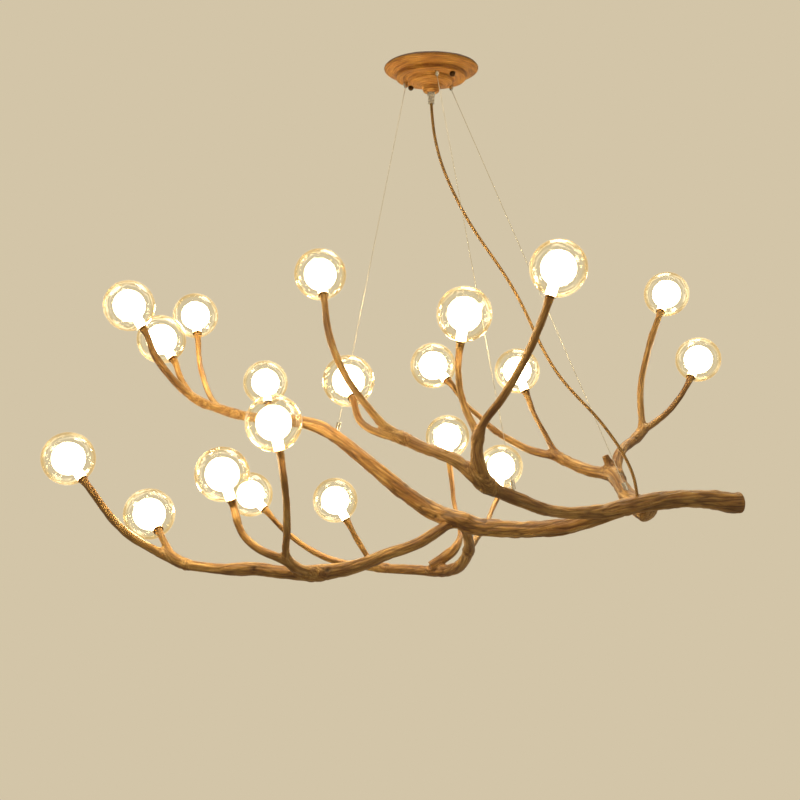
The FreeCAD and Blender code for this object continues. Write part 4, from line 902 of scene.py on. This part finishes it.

# Braided polyester sleeve: flat bundles of brown yarn that cross, each 1 mm wide, with
# painted light on the top of each crossing and painted shade between them.
braid = new_material("brown_polyester_braid")
weave = add(braid, "TexCoord", output="UV")
yarn_place = add(braid, "Mapping", {"Vector": weave, "Scale": (24.0, 1600.0, 1.0)})
yarn = add(braid, "TexNoise", {"Vector": yarn_place, "Scale": 1.0, "Detail": 2.0})
# painted light and shade: lighter where the yarns cross on top, darker in the gaps between them
painted_crossing_shade = add(braid, "Attribute", output="Fac", attribute_name="crossing")
shade = add(braid, "ValToRGB", {"Fac": painted_crossing_shade}, stops=((0.0, "#5E3F16"), (1.0, "#C59A55"),
                                                      (0.45, "#9A7034")))
tone = add(braid, "ValToRGB", {"Fac": yarn}, stops=((0.3, "#C4A67A"), (0.7, "#FFFFFF")))
shade = add(braid, "MixRGB", {"Fac": 0.5, "Color1": shade, "Color2": tone}, blend_type="MULTIPLY")
threads = add(braid, "Bump", {"Height": yarn, "Strength": 0.4, "Distance": 0.0002})
cloth = add(braid, "BsdfPrincipled", {"Base Color": shade, "Roughness": 0.72,
                                      "Sheen Weight": 0.25, "Sheen Roughness": 0.4,
                                      "Normal": threads})
add(braid, "OutputMaterial", {"Surface": cloth})

route_object = bpy.data.objects.new("cord_route", route("cord_route", CORD_ROUTE))
bpy.context.scene.collection.objects.link(route_object)
course = bpy.data.meshes.new_from_object(
    route_object.evaluated_get(bpy.context.evaluated_depsgraph_get()))
bpy.data.objects.remove(route_object)
points = np.empty(len(course.vertices) * 3)
course.vertices.foreach_get("co", points)
points = points.reshape(-1, 3)
run = np.r_[0, np.cumsum(np.linalg.norm(np.diff(points, axis=0), axis=1))]
reading = np.linspace(0, run[-1], int(run[-1] / BRAID_STEP) + 1)
centre = np.stack([np.interp(reading, run, points[:, axis]) for axis in range(3)], axis=1)
heading = np.gradient(centre, axis=0)
heading /= np.linalg.norm(heading, axis=1)[:, None]
across = np.cross(heading, (0.0, 1.0, 0.0))
across /= np.linalg.norm(across, axis=1)[:, None]
over = np.cross(heading, across)
turn = np.arange(BRAID_STEPS) * (2 * math.pi / BRAID_STEPS)
lay = reading[:, None] * (2 * math.pi / BRAID_PITCH)
left_lay = np.cos(BRAID_STRANDS / 2 * turn[None] + lay * BRAID_STRANDS / 4)
right_lay = np.cos(BRAID_STRANDS / 2 * turn[None] - lay * BRAID_STRANDS / 4)
crossing = np.maximum(left_lay, right_lay) * 0.5 + 0.5
radius = CORD_DIAMETER / 2 - BRAID_DEPTH * (1 - crossing)
spoke = across[:, None] * np.cos(turn)[None, :, None] + over[:, None] * np.sin(turn)[None, :, None]
cord_mesh = skin("power_cord_braid", centre[:, None] + spoke * radius[..., None], poles=(True, True))
layer = cord_mesh.attributes.new("crossing", "FLOAT", "POINT")
layer.data.foreach_set("value", np.r_[crossing.ravel(), 0.5, 0.5].astype(np.float32))
corner_count = len(cord_mesh.loops)
corner_vertex = np.empty(corner_count, np.int32)
cord_mesh.loops.foreach_get("vertex_index", corner_vertex)
weave_map = cord_mesh.uv_layers.new(name="braid")
ring, step = np.divmod(corner_vertex, BRAID_STEPS)
ring = np.minimum(ring, len(reading) - 1)
weave_map.data.foreach_set("uv", np.stack([step / BRAID_STEPS, reading[ring]], axis=1)
                           .astype(np.float32).ravel())
cord = piece("power_cord_braid", cord_mesh, braid, "lamp", "brown_braid", "power_cord")
dress(braid, "cord_tail")

# Lamp holders
# A brown moulded holder is pressed into each stem's tip: a collar that the glass stands
# on, and a boss that holds the LED capsule.

# Moulded phenolic, stained like the wood: brown, faintly grained, satin.
phenolic = new_material("moulded_brown_phenolic")
place = add(phenolic, "TexCoord", output="Object")
mottle = add(phenolic, "TexNoise", {"Vector": place, "Scale": 500.0, "Detail": 4.0})
shade = add(phenolic, "ValToRGB", {"Fac": mottle}, stops=((0.3, "#6B471F"), (0.7, "#966B33")))
dull = add(phenolic, "MapRange", {"Value": mottle, "To Min": 0.3, "To Max": 0.48})
plastic = add(phenolic, "BsdfPrincipled", {"Base Color": shade, "Roughness": dull, "IOR": 1.6})
add(phenolic, "OutputMaterial", {"Surface": plastic})
dress(phenolic, "lamp_holders")

# Cast silicone over the LEDs of each capsule: warm, glowing, brighter over each chip.
silicone = new_material("lit_cast_silicone")
place = add(silicone, "TexCoord", output="Object")
chips = add(silicone, "TexVoronoi", {"Vector": place, "Scale": 320.0})
glow = add(silicone, "ValToRGB", {"Fac": chips}, stops=((0.0, "#FFF6DE"), (1.0, "#FFD48A")))
lit = add(silicone, "BsdfPrincipled", {"Base Color": glow, "Roughness": 0.4,
                                       "Emission Color": glow, "Emission Strength": 2.0})
add(silicone, "OutputMaterial", {"Surface": lit})
dress(silicone, "led_capsules")

# Bubble globes
# Twenty double globes, blown in one piece: a clear bubble round a frosted ball, joined
# at a short neck whose mouth stands on the holder's collar.

BUBBLE_RADIUS = 0.050
BALL_RADIUS = 0.031
GLASS_WALL = 0.0015
NECK_RADIUS = 0.0095
MOUTH = 0.0023
NECK_GAP = 0.0002
THROAT_OUTSIDE = 0.002
THROAT_INSIDE = 0.001
BUBBLE_RIPPLE = 0.0003
RIPPLE_LENGTH = 0.022
CALM_FOOT = 0.006
CALM_FADE = 0.01
BUBBLE_STEPS = 72
BUBBLE_ROWS = 44
BALL_STEPS = 56
BALL_ROWS = 30
NECK_ROWS = 6
POLE_ANGLE = 0.02

# Blown soda-lime glass, thin and clear: it mirrors 4% straight on and nearly all at its
# edge, by Schlick's fifth power. What is behind it stays clear but for a thin darker line
# at the rim. A painted glow, emitted by the glass itself, brightens the wall's rim and
# wavy bands along it on some sides, in place of the ball's light caught in the wall.
clear_glass = new_material("blown_clear_glass")
place = add(clear_glass, "TexCoord", output="Object")
ripple = add(clear_glass, "TexNoise", {"Vector": place, "Scale": 46.0, "Detail": 2.0,
                                       "Distortion": 1.2})
wavy = add(clear_glass, "Bump", {"Height": ripple, "Strength": 0.35, "Distance": 0.0012})
edge = add(clear_glass, "LayerWeight", {"Blend": 0.5}, output="Facing")
bent_edge = add(clear_glass, "LayerWeight", {"Blend": 0.5, "Normal": wavy}, output="Facing")
tint = add(clear_glass, "ValToRGB", {"Fac": edge},
           stops=((0.4, "#FFFEFA"), (0.93, "#CDAF72"), (0.74, "#FBF2DC"), (0.86, "#EFDDB4")))
steep = add(clear_glass, "Math", {0: bent_edge, 1: 5.0}, operation="POWER")
mirror = add(clear_glass, "MapRange", {"Value": steep, "To Min": 0.04, "To Max": 0.9})
# painted glow: wavy bands of light near the rim on some sides, emitted by the clear glass
swirl = add(clear_glass, "TexNoise", {"Vector": place, "Scale": 34.0, "Detail": 2.0,
                                      "Distortion": 0.8})
wander = add(clear_glass, "Math", {0: swirl, 1: 17.0}, operation="MULTIPLY")
course = add(clear_glass, "Math", {0: edge, 1: 34.0, 2: wander}, operation="MULTIPLY_ADD")
waves = add(clear_glass, "Math", {0: course}, operation="SINE")
painted_glow_bands = add(clear_glass, "MapRange", {"Value": waves, "From Min": 0.25, "From Max": 0.9})
sides = add(clear_glass, "TexNoise", {"Vector": place, "Scale": 17.0, "Detail": 0.0})
sides = add(clear_glass, "MapRange", {"Value": sides, "From Min": 0.47, "From Max": 0.60,
                                      "To Min": 0.06, "To Max": 0.6})
painted_glow_near_rim = add(clear_glass, "MapRange", {"Value": edge, "From Min": 0.30, "From Max": 0.62})
painted_glow = add(clear_glass, "Math", {0: painted_glow_bands, 1: sides}, operation="MULTIPLY")
# painted glow: a thin bright line along the rim
painted_rim_line = add(clear_glass, "MapRange", {"Value": edge, "From Min": 0.84, "From Max": 0.94,
                                         "To Min": 0.0, "To Max": 0.34})
painted_glow_strength = add(clear_glass, "Math", {0: painted_glow, 1: painted_glow_near_rim, 2: painted_rim_line}, operation="MULTIPLY_ADD")
see = add(clear_glass, "BsdfTransparent", {"Color": tint})
shine = add(clear_glass, "BsdfGlossy", {"Color": linear("#FFFDF6"), "Roughness": 0.03,
                                        "Normal": wavy})
# the painted glow is added to the glass as emission
painted_glow = add(clear_glass, "Emission", {"Color": linear("#FFEFC8"), "Strength": painted_glow_strength})
glass = add(clear_glass, "MixShader", {0: mirror, 1: see, 2: shine})
glass = add(clear_glass, "AddShader", {0: glass, 1: painted_glow})
add(clear_glass, "OutputMaterial", {"Surface": glass})

# The same glass, acid-frosted and lit from inside: white in the middle, warmer at its
# edge, slightly cloudy where the frosting is thicker.
frosted_glass = new_material("lit_frosted_glass")
place = add(frosted_glass, "TexCoord", output="Object")
frosting = add(frosted_glass, "TexNoise", {"Vector": place, "Scale": 120.0, "Detail": 4.0})
glow = add(frosted_glass, "ValToRGB", {"Fac": frosting}, stops=((0.25, "#FFE9B6"), (0.7, "#FFF1CE")))
edge = add(frosted_glass, "LayerWeight", {"Blend": 0.5}, output="Facing")
power = add(frosted_glass, "MapRange", {"Value": edge, "From Min": 0.45, "From Max": 0.98,
                                        "To Min": 24.0, "To Max": 1.5})
lit = add(frosted_glass, "BsdfPrincipled", {"Base Color": glow, "Roughness": 0.5, "IOR": 1.52,
                                            "Emission Color": glow, "Emission Strength": power})
add(frosted_glass, "OutputMaterial", {"Surface": lit})


def sphere_arc(radius, from_radius, count):
    """An arc of a circle in radius and height, from where it is from_radius wide near
    its foot to just short of its top; the pole's fan closes it."""
    start = math.asin(from_radius / radius)
    angle = np.linspace(start, math.pi - POLE_ANGLE, count)
    return np.stack([radius * np.sin(angle), -radius * np.cos(angle)], axis=1)


def shell(name, outer, inner, steps, tip, wave):
    """A wall of glass between two outlines in radius and height over a stem's tip:
    both carried round its axis, joined at the foot, each closed at its pole. Noise
    presses it in towards the ball's centre by up to the wave, but not near its foot."""
    upright = np.array(Vector(tip[3:]).to_track_quat("Z", "Y").to_matrix())
    rings = turned(np.vstack([outer[::-1], inner]), steps)
    ripple = scatter(rings.reshape(-1, 3) / RIPPLE_LENGTH + tip[:3], 5).reshape(rings.shape[:2])
    spoke = rings - np.array([0, 0, centre_height])
    length = np.linalg.norm(spoke, axis=-1, keepdims=True)
    open_part = np.clip((rings[..., 2:] - MOUTH - CALM_FOOT) / CALM_FADE, 0, 1)
    rings = rings - spoke / length * (ripple[..., None] * 0.5 + 0.5) * wave * open_part
    rings = rings @ upright.T + tip[:3] / 1000
    return skin(name, rings, poles=(True, True))


def ball_outline(inwards, throat, foot_share):
    """The frosted ball's outline, so far inwards from its outside: a straight neck that
    ends a throat's length short of the ball, then the ball's arc, with the corner cut."""
    neck_height = np.linspace(MOUTH, neck_top - throat, NECK_ROWS)
    neck = np.stack([np.full(NECK_ROWS, NECK_RADIUS - inwards), neck_height], axis=1)
    arc = sphere_arc(BALL_RADIUS - inwards, NECK_RADIUS * foot_share, BALL_ROWS)
    return eased(np.vstack([neck, arc + (0, centre_height)]), 1)


centre_height = MOUTH + math.sqrt(BUBBLE_RADIUS ** 2 - NECK_RADIUS ** 2)
neck_top = centre_height - math.sqrt(BALL_RADIUS ** 2 - NECK_RADIUS ** 2)
bubble_foot = NECK_RADIUS + NECK_GAP
bubble_outer, bubble_inner = (
    sphere_arc(radius, bubble_foot, BUBBLE_ROWS) + (0, centre_height)
    for radius in (BUBBLE_RADIUS, BUBBLE_RADIUS - GLASS_WALL))
ball_outer = ball_outline(0, THROAT_OUTSIDE, 1.14)
ball_inner = ball_outline(GLASS_WALL, THROAT_INSIDE, 1.05)
for number, tip in enumerate(stem_tips, start=1):
    body = "bubble_%02d" % number
    name = "clear_bubble_%02d" % number
    bubble = shell(name, bubble_outer, bubble_inner, BUBBLE_STEPS, tip, BUBBLE_RIPPLE)
    piece(name, bubble, clear_glass, body, "bubble_glass", "globe_%02d" % number)
    name = "frosted_ball_%02d" % number
    ball = shell(name, ball_outer, ball_inner, BALL_STEPS, tip, 0.0)
    piece(name, ball, frosted_glass, body, "bubble_glass")

# Room
# A plain pale floor well below the lamp, a pale backdrop all round and three soft
# lamps: none of it belongs to the object.

BACKDROP = "#D3C5A8"
FLOOR_HEIGHT = -3.2
FLOOR_REACH = 3.3
FLOOR_FADE = 0.3
LAMP_AIM = (0, 0, -0.65)

# Matt pale paint on the floor, that fades into the backdrop far out.
floor_paint = new_material("pale_floor_paint")
place = add(floor_paint, "TexCoord", output="Object")
far = add(floor_paint, "Mapping", {"Vector": place, "Scale": (FLOOR_FADE,) * 3,
                                   "Location": (0.0, 0.0, -FLOOR_FADE * FLOOR_HEIGHT)})
fade = add(floor_paint, "TexGradient", {"Vector": far}, gradient_type="SPHERICAL")
edge = add(floor_paint, "MapRange", {"Value": fade, "From Min": 0.0, "From Max": 0.5})
matt = add(floor_paint, "BsdfDiffuse", {"Color": linear("#FFEFD0")})
gone = add(floor_paint, "BsdfTransparent")
mixed = add(floor_paint, "MixShader", {0: edge, 1: gone, 2: matt})
add(floor_paint, "OutputMaterial", {"Surface": mixed})
floor_outline = np.array([[1.0, FLOOR_HEIGHT], [FLOOR_REACH, FLOOR_HEIGHT]])
floor_mesh = skin("floor", turned(floor_outline, 64), poles=(True, False))
floor_mesh.materials.append(floor_paint)
floor = bpy.data.objects.new("floor", floor_mesh)
bpy.context.scene.collection.objects.link(floor)

room = bpy.data.worlds.new("room")
room.use_nodes = True
bpy.context.scene.world = room
room.node_tree.nodes.clear()
camera_ray = add(room, "LightPath", output="Is Camera Ray")
glossy_ray = add(room, "LightPath", output="Is Glossy Ray")
glass_ray = add(room, "LightPath", output="Is Transmission Ray")
seen = add(room, "Math", {0: camera_ray, 1: glossy_ray}, operation="MAXIMUM")
seen = add(room, "Math", {0: seen, 1: glass_ray}, operation="MAXIMUM")
backdrop = add(room, "Background", {"Color": linear(BACKDROP), "Strength": 1.0})
ambient = add(room, "Background", {"Color": linear("#FFF8EC"), "Strength": 0.16})
chosen = add(room, "MixShader", {0: seen, 1: ambient, 2: backdrop})
add(room, "OutputWorld", {"Surface": chosen})

LAMPS = (
    # name, place, width in metres, power in watts, colour
    ("key_lamp", (-1.2, -1.5, 2.4), 1.4, 60, "#FFF0D8"),
    ("fill_lamp", (2.4, -1.9, 0.3), 1.6, 4, "#FFF3E2"),
    ("back_lamp", (0.6, 2.0, 2.3), 1.6, 60, "#FFEFD6"),
)
for name, place, width, power, colour in LAMPS:
    light = bpy.data.lights.new(name, "AREA")
    light.size = width
    light.energy = power
    light.color = linear(colour)[:3]
    lamp = bpy.data.objects.new(name, light)
    bpy.context.scene.collection.objects.link(lamp)
    lamp.location = place
    aim = Vector(LAMP_AIM) - Vector(place)
    lamp.rotation_euler = aim.to_track_quat("-Z", "Y").to_euler()

bpy.context.scene.view_settings.view_transform = "Standard"

# Finish
# The view layer is brought up to date.

bpy.context.view_layer.update()
